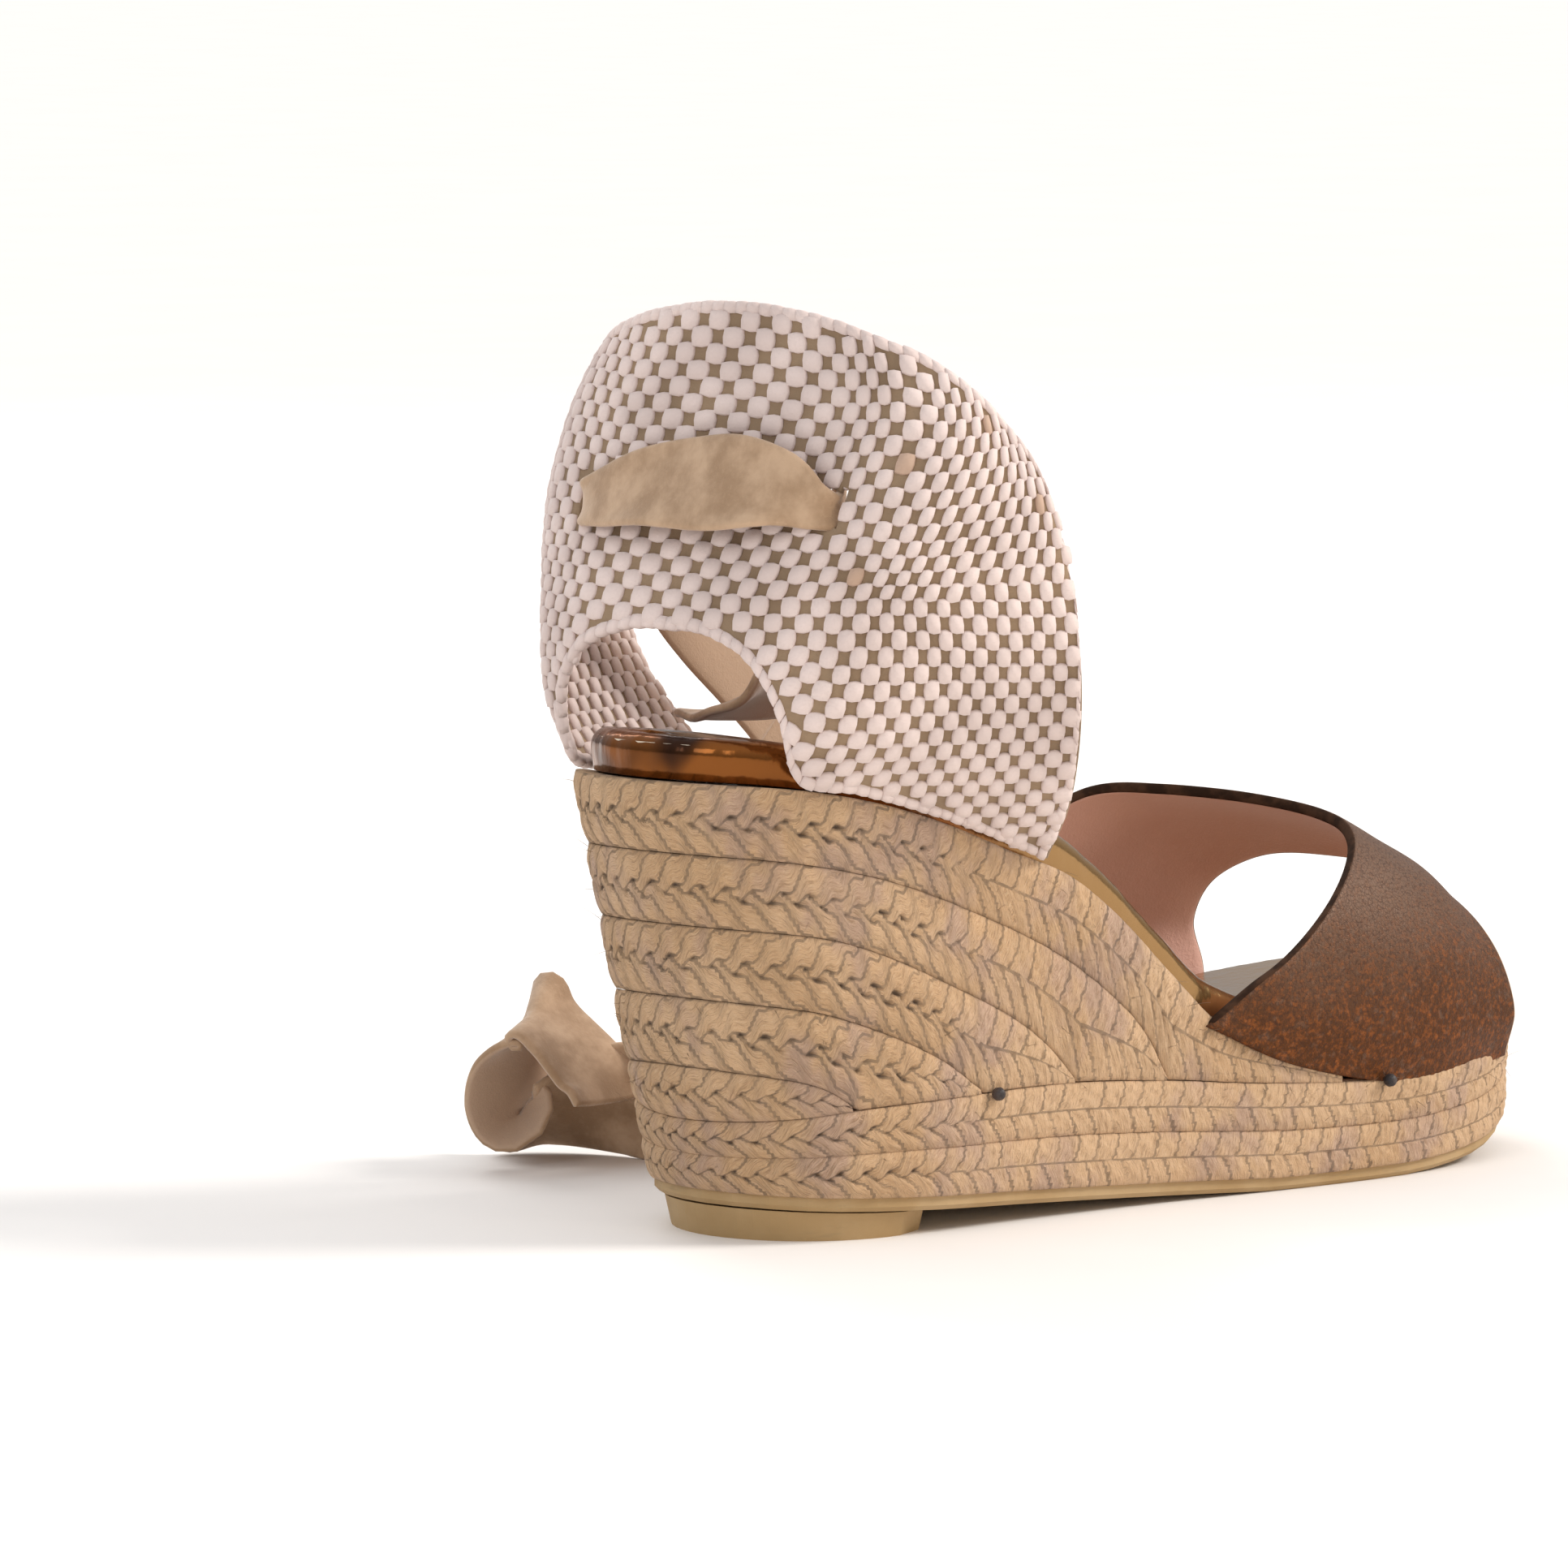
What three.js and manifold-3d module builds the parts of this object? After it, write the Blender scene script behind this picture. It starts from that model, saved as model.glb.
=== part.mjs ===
// Wedge espadrille sandal for a right foot: braided jute wedge, open toe, woven ankle cuff, suede tie.
// Millimetres. +X runs to the toe, +Y to the inner (medial) side of the foot, +Z up.
// The origin is on the floor, under the middle of the heel.
import * as THREE from 'three';
import Module from 'manifold-3d';

const wasm = await Module();
wasm.setup();

// ---------- driving dimensions ----------
const GAP = 0.35;                 // clearance between pieces that touch
const LOOP_SAMPLES = 64;          // points round the sole outline
const LOW_OUTLINE_Z = 9;          // height of the lower wall outline
const HIGH_OUTLINE_Z = 86;        // height of the upper wall outline

// Half widths of the foot outline at stations along the sole: [x, outer side, inner side].
const LOW_HEEL_X = -30;
const LOW_TOE = [177.5, 3];
const LOW_STATIONS = [
  [-21.5, 21, 21], [0, 29.5, 29.5], [28, 31, 29], [60, 34, 30], [95, 39.5, 37],
  [122, 42, 43], [145, 39.5, 41.5], [162, 29.5, 33], [173.5, 15, 20],
];
const HIGH_HEEL_X = -49;
const HIGH_TOE = [179.5, 3];
const HIGH_STATIONS = [
  [-41, 21, 21], [-18, 32, 32], [22, 34, 33], [58, 36.5, 33.5], [95, 41.5, 40],
  [122, 43.5, 44.5], [146, 41, 43], [163.5, 30.5, 34], [175.5, 15.5, 20.5],
];

// Underside of the outsole: straight fall from the heel to the ball, flat, then toe spring.
const HEEL_SOLE_Z = 6.2;
const HEEL_SOLE_X = -28;
const BALL_START_X = 88;
const SPRING_START_X = 118;
const TOE_TIP_X = 178;
const TOE_SPRING = 8.5;
const OUTSOLE_THICK = 2.6;

// Heel lift under the outsole.
const LIFT_RADIUS = 24.5;
const LIFT_CENTRE_X = -2.5;
const LIFT_FRONT_X = 5;
const LIFT_FRONT_HALF = 22;

// Side profiles, [x, z]: top of the platform and top of the wedge (the seat of the insole).
const PLATFORM_TOP = [
  [-36, 21.6], [-15, 24.4], [12, 25.1], [36, 25], [60, 23.3], [80, 21.2], [102, 19.6], [122, 19.2],
];
const SEAT = [
  [-52, 85.8], [-34, 84.4], [-18, 81.4], [0, 76.2], [18, 69.6], [33, 64], [46, 55.4],
  [60, 43.2], [71, 33.6], [80, 29.4], [91, 25.4], [104, 19.8],
];
// Lower lines of the heel courses of braid, from the top course down, [x, z].
const COURSE_LINES = [
  [[-48, 72.6], [-31, 70.6], [-12, 66.2], [14, 57], [30, 50], [43, 42], [53, 33.5], [60, 23]],
  [[-46, 59.4], [-26, 56.8], [-15, 53.6], [1, 47], [19, 39], [29, 32.6], [38, 24]],
  [[-44, 46], [-26, 43.2], [-17, 40.4], [-6, 36], [3, 31.6], [15, 24]],
  [[-42, 33.2], [-34, 31.8], [-23, 29], [-15, 24]],
];
const BRAID_DEPTH = 9;            // how far a braid course reaches into the wedge
const BRAID_BULGE = 1.1;          // how far a braid stands out between its seams
const COURSE_MIN_HEIGHT = 2.2;    // a course ends where it has become this thin
const COURSE_STEP = 1 / 96;       // step round the outline along a heel course

// Insole.
const INSOLE_INSET = 2.7;
const INSOLE_THICK = 8.3;
const COVER_SKIN = 1.2;
const BOARD_THICK = 1.6;
const LAYER_INSET = INSOLE_INSET + COVER_SKIN + 1;

// Woven quarter: half ribs from the back centre to the front edge, each from its lower to its upper edge.
const QUARTER_THICK = 2;
const QUARTER_RIBS = [
  [[-38, 0, 112.5], [-34, 0, 122], [-26.5, 0, 139], [-21.5, 0, 155], [-19.5, 0, 170]],
  [[-38.2, 10, 112], [-34.3, 10.5, 122], [-26.6, 11.5, 139], [-21.5, 11.5, 155], [-19.3, 10.5, 169.5]],
  [[-38.7, 21.4, 107.5], [-34.5, 23.5, 120], [-26, 25.5, 138], [-20.5, 26, 153], [-18, 23, 167.5]],
  [[-37.6, 27.6, 98], [-33, 34, 112], [-25.5, 37.5, 134], [-19.5, 38, 150], [-16, 33, 164.5]],
  [[-33.5, 28.5, 86.2], [-32, 36.8, 101], [-24.5, 43.5, 128], [-16.5, 45.5, 147], [-12.5, 40, 161.5]],
  [[-21, 31.6, 83.5], [-23.5, 40.5, 97], [-19, 49, 124], [-12, 51, 144], [-9.5, 46.5, 157]],
  [[-6, 33.4, 79.3], [-8.5, 43.5, 92], [-7.5, 53, 116], [-4.5, 55.5, 136], [-4.5, 51.5, 150]],
  [[10, 34.1, 74], [7, 45.5, 87], [4, 55.5, 108], [2.5, 58.5, 126], [0.5, 55.5, 141]],
  [[25.5, 34.6, 68.2], [20, 45.5, 80], [12.5, 55, 95.5], [8, 58.6, 111], [4.5, 58.5, 126]],
];
const CUFF_AXIS_X = -4;           // the cuff folds about a cross axis through its two bases
const CUFF_AXIS_Z = 80;
const BASE_RADIUS = 33;

// Vamp: hoops from the outer base over the foot to the inner base.
const VAMP_FACE = 0.9;            // outer face of the leather, outside the hoops
const VAMP_THICK = 1.5;
const LINING_THICK = 1;
const VAMP_HOOPS = [
  [[68, -38.6, 35.6], [85, -41.4, 44], [101, -39.5, 54.2], [116, -31, 63.6], [122.5, -17, 67.6],
    [121, 0, 69.6], [115, 17, 70.4], [107, 31, 69], [96, 39.5, 59.5], [83, 40.6, 47], [70, 38.4, 34.8]],
  [[90, -41.6, 26.6], [101, -43.2, 35], [114, -41.8, 47.5], [125, -33.5, 58.5], [130.5, -18, 63.8],
    [131, 0, 65.4], [127, 17.5, 65.8], [119, 32.5, 62.8], [108, 42, 52], [99, 43.4, 39], [92, 42.4, 26]],
  [[124, -43.2, 20.2], [127, -43.4, 30], [132, -41.8, 42], [137.5, -33.5, 53], [138.5, -19, 59.6],
    [138, 0, 61.2], [136.5, 18, 60.6], [133.5, 33, 55.6], [128.5, 42.6, 44], [126, 44.6, 32], [124, 44.8, 20.2]],
  [[151, -40.2, 22.6], [151, -40.6, 30.5], [147.5, -38.8, 41], [145, -31.5, 49.5], [143.4, -18, 56.3],
    [142.8, 0, 58], [143.2, 17, 56.4], [144.2, 30.5, 50], [146.8, 38.6, 41], [151.5, 40.6, 31], [152, 40.6, 22.8]],
];

// Suede tie.
const TIE_THICK = 1.8;
const SLOT_X = -26;
const SLOT_Y = 30.8;
const SLOT_Z = 138.5;
const SLOT_WIDTH = 6.8;
const SLOT_HEIGHT = 14.5;
const BAND_ROUTE = {
  at: [[-20.5, -26.5, 138.5], [-24, -30.4, 138.5], [-27.2, -31.4, 138.5], [-30, -28.8, 138.7], [-31.4, -22, 139],
    [-31.8, -11, 139.4], [-31.9, 0, 139.6], [-31.8, 11, 139.4], [-31.4, 22, 139], [-30, 28.8, 138.7],
    [-27.2, 31.4, 138.5], [-24, 30.4, 138.5], [-20.5, 26.5, 138.5]],
  across: [[0, 0, 1], [0, 0, 1], [0, 0, 1], [0.15, 0, 1], [0.32, 0, 1], [0.36, 0, 1], [0.38, 0, 1], [0.36, 0, 1],
    [0.32, 0, 1], [0.15, 0, 1], [0, 0, 1], [0, 0, 1], [0, 0, 1]],
  width: [11, 11, 11.5, 12.5, 15, 17, 17.6, 17, 15, 12.5, 11.5, 11, 11],
};
const OUTER_RUN_ROUTE = {
  at: [[-18.8, -24.7, 138.4], [-16, -21.4, 136.6], [-13.8, -17, 127], [-12.2, -9.5, 113.5], [-10.5, -1, 102.5],
    [-7, 8.5, 96.6], [0, 20, 92.6]],
  across: [[0, 0, 1], [0.25, 0.3, 0.95], [0.75, 0.4, 0.5], [0.9, 0.3, 0.3], [0.9, 0, 0.45], [0.9, -0.4, 0.25],
    [0.8, -0.6, 0]],
  width: [11, 12, 16, 19.5, 21.5, 22, 22],
};
const INNER_RUN_ROUTE = {
  at: [[-18.6, 24.9, 138.4], [-15.2, 27.6, 136.6], [-9, 31.4, 129], [1, 35.2, 118.5], [11, 36.4, 109.5],
    [22, 36.4, 100.5], [31.5, 36.1, 92.5]],
  across: [[0, 0, 1], [0.15, 0, 0.98], [0.4, -0.1, 0.9], [0.58, -0.1, 0.78], [0.65, 0, 0.72], [0.72, 0, 0.68],
    [0.8, 0, 0.6]],
  width: [11, 12, 15, 19, 21, 21, 21],
};
const TAIL_ROUTE = {
  at: [[32.4, 38.6, 91.7], [37.2, 38.9, 86.6], [41, 40.4, 77], [42, 43, 57], [40, 46.5, 35], [35.5, 53, 21], [28, 65, 14.8],
    [21, 78.5, 13], [20, 91, 13.4], [29, 97.5, 15], [33, 88, 22], [25.5, 82, 27.4], [16.5, 89, 24]],
  across: [[0.8, 0, 0.6], [0.85, 0, 0.5], [0.95, 0, 0.3], [1, 0, 0.05], [0.95, 0.15, 0.2], [0.6, 0.25, 0.7],
    [0.2, 0.1, 1], [0.1, 0, 1], [0, 0.1, 1], [-0.1, 0.25, 0.95], [0.3, 0.75, 0.7], [0.6, 0.85, 0.2], [0.7, 0.65, 0.35]],
  width: [21, 21.5, 22, 22.5, 23, 23, 23, 23, 23, 23, 22.5, 22, 22],
};

// Knots where a seam's thread ends, on the outer side: [x, z].
const KNOT_RADIUS = 1.3;
const KNOT_STANDOFF = 1.9;
const SEAM_KNOTS = [[14, 25.2], [112, 19.3]];

// ---------- materials ----------
function finish(color, roughness, metalness = 0) {
  return new THREE.MeshStandardMaterial({ color, roughness, metalness });
}

const JUTE = finish(0xc8aa7d, 0.95);
const RUBBER = finish(0x9c8b62, 0.8);
const CORK = finish(0xa9875c, 0.9);
const BOARD = finish(0x8a6a48, 0.9);
const FOAM = finish(0xd8cdbb, 0.95);
const BRONZE_LEATHER = finish(0x7a4a1e, 0.3, 0.6);
const CRACKLE_LEATHER = finish(0x6e5240, 0.45, 0.35);
const LINING = finish(0x9c6c5a, 0.8);
const WOVEN = finish(0xd2c6bd, 0.9);
const SUEDE = finish(0xae9272, 0.95);
const THREAD = finish(0x2c2622, 0.8);

// ---------- geometry helpers ----------
const vec = (p) => new THREE.Vector3(p[0], p[1], p[2]);

/** Smooth curve through [x, z] points, read as z at x. */
function profile(points) {
  return (x) => {
    const last = points.length - 1;
    if (x <= points[0][0]) return points[0][1];
    if (x >= points[last][0]) return points[last][1];
    let i = 0;
    while (points[i + 1][0] < x) i += 1;
    const slope = (a, b) => (points[b][1] - points[a][1]) / (points[b][0] - points[a][0]);
    const span = points[i + 1][0] - points[i][0];
    const start = slope(Math.max(i - 1, 0), i + 1) * span;
    const end = slope(i, Math.min(i + 2, last)) * span;
    const u = (x - points[i][0]) / span;
    const rise = points[i + 1][1] - points[i][1];
    return points[i][1] + u * (start + u * (3 * rise - 2 * start - end + u * (start + end - 2 * rise)));
  };
}

function outlineCurve(heelX, stations, toe) {
  const outer = stations.map(([x, outerHalf]) => new THREE.Vector3(x, -outerHalf, 0));
  const inner = stations.map(([x, , innerHalf]) => new THREE.Vector3(x, innerHalf, 0)).reverse();
  const points = [new THREE.Vector3(heelX, 0, 0), ...outer, new THREE.Vector3(toe[0], toe[1], 0), ...inner];
  return new THREE.CatmullRomCurve3(points, true, 'catmullrom', 0.5);
}

const lowOutline = outlineCurve(LOW_HEEL_X, LOW_STATIONS, LOW_TOE);
const highOutline = outlineCurve(HIGH_HEEL_X, HIGH_STATIONS, HIGH_TOE);
const platformLine = profile(PLATFORM_TOP);
const seatLine = profile(SEAT);

const wrap = (t) => ((t % 1) + 1) % 1;

/** Point on the wedge's side wall: t runs once round the foot from the back of the heel, outer side first. */
function wall(t, z, inset = 0) {
  const lean = THREE.MathUtils.clamp((z - LOW_OUTLINE_Z) / (HIGH_OUTLINE_Z - LOW_OUTLINE_Z), 0, 1.15);
  const at = (s) => lowOutline.getPoint(wrap(s)).lerp(highOutline.getPoint(wrap(s)), lean);
  const along = at(t + 0.002).sub(at(t - 0.002)).normalize();
  const point = at(t);
  return new THREE.Vector3(point.x - along.y * inset, point.y + along.x * inset, z);
}

function toeSpring(x) {
  const u = Math.max(0, (x - SPRING_START_X) / (TOE_TIP_X - SPRING_START_X));
  return TOE_SPRING * u ** 1.7;
}

function soleUnder(x) {
  const fall = Math.max(0, (BALL_START_X - x) / (BALL_START_X - HEEL_SOLE_X));
  return HEEL_SOLE_Z * fall + toeSpring(x);
}

const platformBottom = (x) => soleUnder(x) + OUTSOLE_THICK;
const platformTop = (x) => platformLine(x) + toeSpring(x);
const seat = (x) => Math.max(seatLine(x), platformTop(x));

/** Wall point whose height is a function of its own x. */
function wallOn(t, height, lift = 0, inset = 0) {
  let point = wall(t, 20, inset);
  for (let pass = 0; pass < 6; pass += 1) point = wall(t, height(point.x) + lift, inset);
  return point;
}

function ring(height, lift = 0, inset = 0) {
  return Array.from({ length: LOOP_SAMPLES }, (_, i) => wallOn(i / LOOP_SAMPLES, height, lift, inset));
}

function toGeometry(points, faces) {
  const geometry = new THREE.BufferGeometry();
  const coordinates = points.flatMap((p) => [p.x, p.y, p.z]);
  geometry.setAttribute('position', new THREE.Float32BufferAttribute(coordinates, 3));
  let volume = 0;
  for (const [a, b, c] of faces) volume += points[a].dot(points[b].clone().cross(points[c]));
  const outward = volume > 0 ? faces : faces.map(([a, b, c]) => [a, c, b]);
  geometry.setIndex(outward.flat());
  geometry.computeVertexNormals();
  return geometry;
}

function joinRings(faces, first, second, count, closed = true) {
  for (let i = 0; i < (closed ? count : count - 1); i += 1) {
    const next = (i + 1) % count;
    faces.push([first + i, first + next, second + next], [first + i, second + next, second + i]);
  }
}

/** Cap of a foot-shaped ring, in strips from the outer side to the inner side. */
function capAcross(faces, start, count, flip) {
  const add = (a, b, c) => faces.push(flip ? [a, c, b] : [a, b, c]);
  for (let i = 0; i < count / 2; i += 1) {
    const outer = start + i;
    const inner = start + ((count - i) % count);
    const nextOuter = start + i + 1;
    const nextInner = start + count - i - 1;
    if (i > 0) add(outer, nextOuter, inner);
    if (nextOuter !== nextInner) add(nextOuter, nextInner, inner);
  }
}

/** Solid from a stack of foot-shaped rings, lowest first. */
function stack(rings) {
  const count = rings[0].length;
  const faces = [];
  rings.slice(1).forEach((_, r) => joinRings(faces, r * count, (r + 1) * count, count));
  capAcross(faces, 0, count, true);
  capAcross(faces, (rings.length - 1) * count, count, false);
  return toGeometry(rings.flat(), faces);
}

/** Solid swept through a row of convex sections; closed rows join end to end. */
function sweep(sections, closed = false) {
  const count = sections[0].length;
  const faces = [];
  const joins = closed ? sections.length : sections.length - 1;
  for (let s = 0; s < joins; s += 1) joinRings(faces, s * count, ((s + 1) % sections.length) * count, count);
  if (!closed) {
    const end = (sections.length - 1) * count;
    for (let i = 1; i < count - 1; i += 1) {
      faces.push([0, i + 1, i], [end, end + i, end + i + 1]);
    }
  }
  return toGeometry(sections.flat(), faces);
}

/** Sheet of even thickness on one side of a grid of points. */
function plate(grid, near, far) {
  const rows = grid.length;
  const columns = grid[0].length;
  const clampTo = (i, n) => THREE.MathUtils.clamp(i, 0, n - 1);
  const normal = (r, c) => {
    const down = grid[clampTo(r + 1, rows)][c].clone().sub(grid[clampTo(r - 1, rows)][c]);
    const side = grid[r][clampTo(c + 1, columns)].clone().sub(grid[r][clampTo(c - 1, columns)]);
    return side.cross(down).normalize();
  };
  const raised = (r, c, depth) => grid[r][c].clone().addScaledVector(normal(r, c), depth);
  const layer = (depth) => grid.flatMap((row, r) => row.map((_, c) => raised(r, c, depth)));
  const points = [...layer(near), ...layer(far)];
  const size = rows * columns;
  const faces = [];
  const quad = (a, b, c, d) => faces.push([a, b, c], [a, c, d]);
  for (let r = 0; r < rows - 1; r += 1) {
    for (let c = 0; c < columns - 1; c += 1) {
      const k = r * columns + c;
      quad(k, k + 1, k + columns + 1, k + columns);
      quad(size + k, size + k + columns, size + k + columns + 1, size + k + 1);
    }
  }
  for (let c = 0; c < columns - 1; c += 1) {
    const k = (rows - 1) * columns + c;
    quad(c, size + c, size + c + 1, c + 1);
    quad(k, k + 1, size + k + 1, size + k);
  }
  for (let r = 0; r < rows - 1; r += 1) {
    const k = r * columns;
    const e = k + columns - 1;
    quad(k, k + columns, size + k + columns, size + k);
    quad(e, size + e, size + e + columns, e + columns);
  }
  return toGeometry(points, faces);
}

/** Flat strap of changing width along a route. */
function strap(route, samples, thick = TIE_THICK) {
  const path = new THREE.CatmullRomCurve3(route.at.map(vec), false, 'catmullrom', 0.5);
  const across = new THREE.CatmullRomCurve3(route.across.map(vec), false, 'catmullrom', 0.5);
  const width = new THREE.CatmullRomCurve3(route.width.map((w) => vec([w, 0, 0])), false, 'catmullrom', 0.5);
  const sections = [];
  for (let i = 0; i <= samples; i += 1) {
    const t = i / samples;
    const tangent = path.getTangent(t);
    const side = across.getPoint(t);
    side.addScaledVector(tangent, -side.dot(tangent)).normalize();
    const face = tangent.clone().cross(side);
    const half = width.getPoint(t).x / 2;
    const edge = (w) => path.getPoint(t).addScaledVector(side, w * half);
    const corner = (w, h) => edge(w).addScaledVector(face, h * thick / 2);
    sections.push([corner(-1, -1), corner(1, -1), corner(1, 1), corner(-1, 1)]);
  }
  return sweep(sections);
}

// ---------- booleans ----------
function toSolid(geometry) {
  const mesh = new wasm.Mesh({
    numProp: 3,
    vertProperties: new Float32Array(geometry.attributes.position.array),
    triVerts: new Uint32Array(geometry.index.array),
  });
  mesh.merge();
  return new wasm.Manifold(mesh);
}

function fromSolid(solid) {
  const mesh = solid.getMesh();
  const geometry = new THREE.BufferGeometry();
  geometry.setAttribute('position', new THREE.BufferAttribute(new Float32Array(mesh.vertProperties), 3));
  geometry.setIndex(new THREE.BufferAttribute(new Uint32Array(mesh.triVerts), 1));
  geometry.computeVertexNormals();
  return geometry;
}

/** Block or round bar for cutting, as a geometry with only positions. */
function tool(geometry, matrix) {
  const bare = geometry.index ? geometry.toNonIndexed() : geometry;
  const positions = bare.attributes.position;
  const lookup = new Map();
  const points = [];
  const index = [];
  for (let i = 0; i < positions.count; i += 1) {
    const p = new THREE.Vector3().fromBufferAttribute(positions, i).applyMatrix4(matrix);
    const key = [p.x, p.y, p.z].map((value) => value.toFixed(4)).join();
    if (!lookup.has(key)) {
      lookup.set(key, points.length);
      points.push(p);
    }
    index.push(lookup.get(key));
  }
  const faces = [];
  for (let i = 0; i < index.length; i += 3) {
    const face = index.slice(i, i + 3);
    if (new Set(face).size === 3) faces.push(face);
  }
  return toSolid(toGeometry(points, faces));
}

const blockTool = (size, centre) => tool(
  new THREE.BoxGeometry(...size),
  new THREE.Matrix4().makeTranslation(...centre),
);

const cuffBarrel = (radius) => tool(
  new THREE.CylinderGeometry(radius, radius, 200, 96),
  new THREE.Matrix4().makeTranslation(CUFF_AXIS_X, 0, CUFF_AXIS_Z),
);

// ---------- sub-parts ----------
const sandal = new THREE.Group();

function addPart(name, geometry, material) {
  const mesh = new THREE.Mesh(geometry, material);
  mesh.name = name;
  sandal.add(mesh);
}

function outsole() {
  return stack([ring(soleUnder, 0, 1.6), ring(soleUnder, 0.9, 0.7), ring(platformBottom, 0, 0.7)]);
}

function heelLift() {
  const arc = Array.from({ length: 25 }, (_, i) => Math.PI * (0.5 + i / 24));
  const onArc = (a, radius) => [LIFT_CENTRE_X + radius * Math.cos(a), radius * Math.sin(a)];
  const outline = (grow) => [
    [LIFT_FRONT_X, LIFT_FRONT_HALF + grow],
    ...arc.map((a) => onArc(a, LIFT_RADIUS + grow)),
    [LIFT_FRONT_X, -LIFT_FRONT_HALF - grow],
  ];
  const lower = outline(0).map(([x, y]) => new THREE.Vector3(x, y, 0));
  const upper = outline(1.2).map(([x, y]) => new THREE.Vector3(x, y, soleUnder(x) - GAP));
  return sweep([lower, upper]);
}

/** Solid body of the wedge and platform inside the braid. */
function wedgeCore() {
  const inset = BRAID_DEPTH + GAP;
  const bottom = ring(platformBottom, GAP, inset);
  const middle = ring((x) => (platformBottom(x) + seat(x)) / 2, 0, inset);
  return stack([bottom, middle, ring(seat, -GAP, inset)]);
}

/** Section of a braid course at one place on the wall, bulging between its lower and upper line. */
function braidSection(t, low, high) {
  const bottom = wallOn(t, low, GAP / 2).z;
  const top = wallOn(t, high, -GAP / 2).z;
  const innerTop = Math.min(top, wallOn(t, high, -GAP / 2, BRAID_DEPTH).z);
  return [
    wall(t, bottom, BRAID_DEPTH),
    wall(t, bottom),
    wall(t, (bottom + top) / 2, -BRAID_BULGE),
    wall(t, top),
    wall(t, innerTop, BRAID_DEPTH),
  ];
}

function platformCourse(low, high) {
  const sections = Array.from({ length: LOOP_SAMPLES }, (_, i) => braidSection(i / LOOP_SAMPLES, low, high));
  return sweep(sections, true);
}

/** Heel course: from its end on the inner side, round the heel, to its end on the outer side. */
function heelCourse(low, high) {
  const lowOrPlatform = (x) => Math.max(low(x), platformTop(x) + GAP);
  const heightAt = (t) => wallOn(t, high).z - wallOn(t, lowOrPlatform).z;
  let steps = 4;
  while (heightAt((steps + 1) * COURSE_STEP) > COURSE_MIN_HEIGHT) steps += 1;
  const sections = [];
  for (let i = -steps; i <= steps; i += 1) sections.push(braidSection(i * COURSE_STEP, lowOrPlatform, high));
  return sweep(sections);
}

/** Layer of the insole between two heights above the seat. */
function insoleLayer(low, high, inset) {
  return stack([ring(seat, low, inset), ring(seat, high, inset)]);
}

/** Leather cap over the insole's top and rounded edge, open underneath. */
function insoleCover() {
  const top = INSOLE_THICK;
  const rings = [
    ring(seat, GAP, INSOLE_INSET + COVER_SKIN),
    ring(seat, top - COVER_SKIN, INSOLE_INSET + COVER_SKIN + 0.6),
    ring(seat, GAP, INSOLE_INSET),
    ring(seat, top * 0.7, INSOLE_INSET),
    ring(seat, top * 0.93, INSOLE_INSET + 1),
    ring(seat, top, INSOLE_INSET + 3),
  ];
  const count = LOOP_SAMPLES;
  const faces = [];
  capAcross(faces, count, count, true);
  joinRings(faces, count, 0, count);
  joinRings(faces, 0, 2 * count, count);
  for (let r = 2; r < 5; r += 1) joinRings(faces, r * count, (r + 1) * count, count);
  capAcross(faces, 5 * count, count, false);
  return toGeometry(rings.flat(), faces);
}

/** Grid of points through hoops of points: smooth along and across. */
function smoothGrid(lines, rows, columns) {
  const curves = lines.map((line) => new THREE.CatmullRomCurve3(line.map(vec), false, 'catmullrom', 0.5));
  return Array.from({ length: rows + 1 }, (_, r) => {
    const across = curves.map((curve) => curve.getPoint(r / rows));
    const rib = new THREE.CatmullRomCurve3(across, false, 'catmullrom', 0.5);
    return Array.from({ length: columns + 1 }, (_, c) => rib.getPoint(c / columns));
  });
}

function quarterSolid() {
  const mirrored = QUARTER_RIBS.slice(1).reverse().map((rib) => rib.map(([x, y, z]) => [x, -y, z]));
  const grid = smoothGrid([...mirrored, ...QUARTER_RIBS], 14, 64);
  const cloth = toSolid(plate(grid, -QUARTER_THICK / 2, QUARTER_THICK / 2));
  const slotSize = [14, SLOT_WIDTH, SLOT_HEIGHT];
  const slots = [-1, 1].map((side) => blockTool(slotSize, [SLOT_X, side * SLOT_Y, SLOT_Z]));
  return slots.reduce((solid, slot) => solid.subtract(slot), cloth);
}

function addQuarter() {
  const whole = quarterSolid();
  const base = whole.intersect(cuffBarrel(BASE_RADIUS));
  addPart('quarter_base_outer', fromSolid(base.intersect(blockTool([200, 100, 200], [0, -51, 80]))), WOVEN);
  addPart('quarter_base_inner', fromSolid(base.intersect(blockTool([200, 100, 200], [0, 51, 80]))), WOVEN);
  addPart('quarter_cuff', fromSolid(whole.subtract(cuffBarrel(BASE_RADIUS + GAP))), WOVEN);
}

function addVamp() {
  const grid = smoothGrid(VAMP_HOOPS, 30, 12);
  const leatherBack = VAMP_FACE - VAMP_THICK;
  const liningFace = leatherBack - GAP;
  addPart('vamp_outer', plate(grid, leatherBack, VAMP_FACE), CRACKLE_LEATHER);
  addPart('vamp_lining', plate(grid, liningFace - LINING_THICK, liningFace), LINING);
}

/** Small knot of waxed thread in a seam on the outer side. */
function seamKnot([x, z]) {
  let t = 0.1;
  while (wall(t, z).x < x) t += 0.001;
  const place = wall(t, z, -KNOT_STANDOFF);
  const ball = new THREE.SphereGeometry(KNOT_RADIUS, 10, 8);
  return fromSolid(tool(ball, new THREE.Matrix4().makeTranslation(place.x, place.y, place.z)));
}

addPart('outsole', outsole(), RUBBER);
addPart('heel_lift', heelLift(), RUBBER);
addPart('wedge_core', wedgeCore(), CORK);

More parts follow.
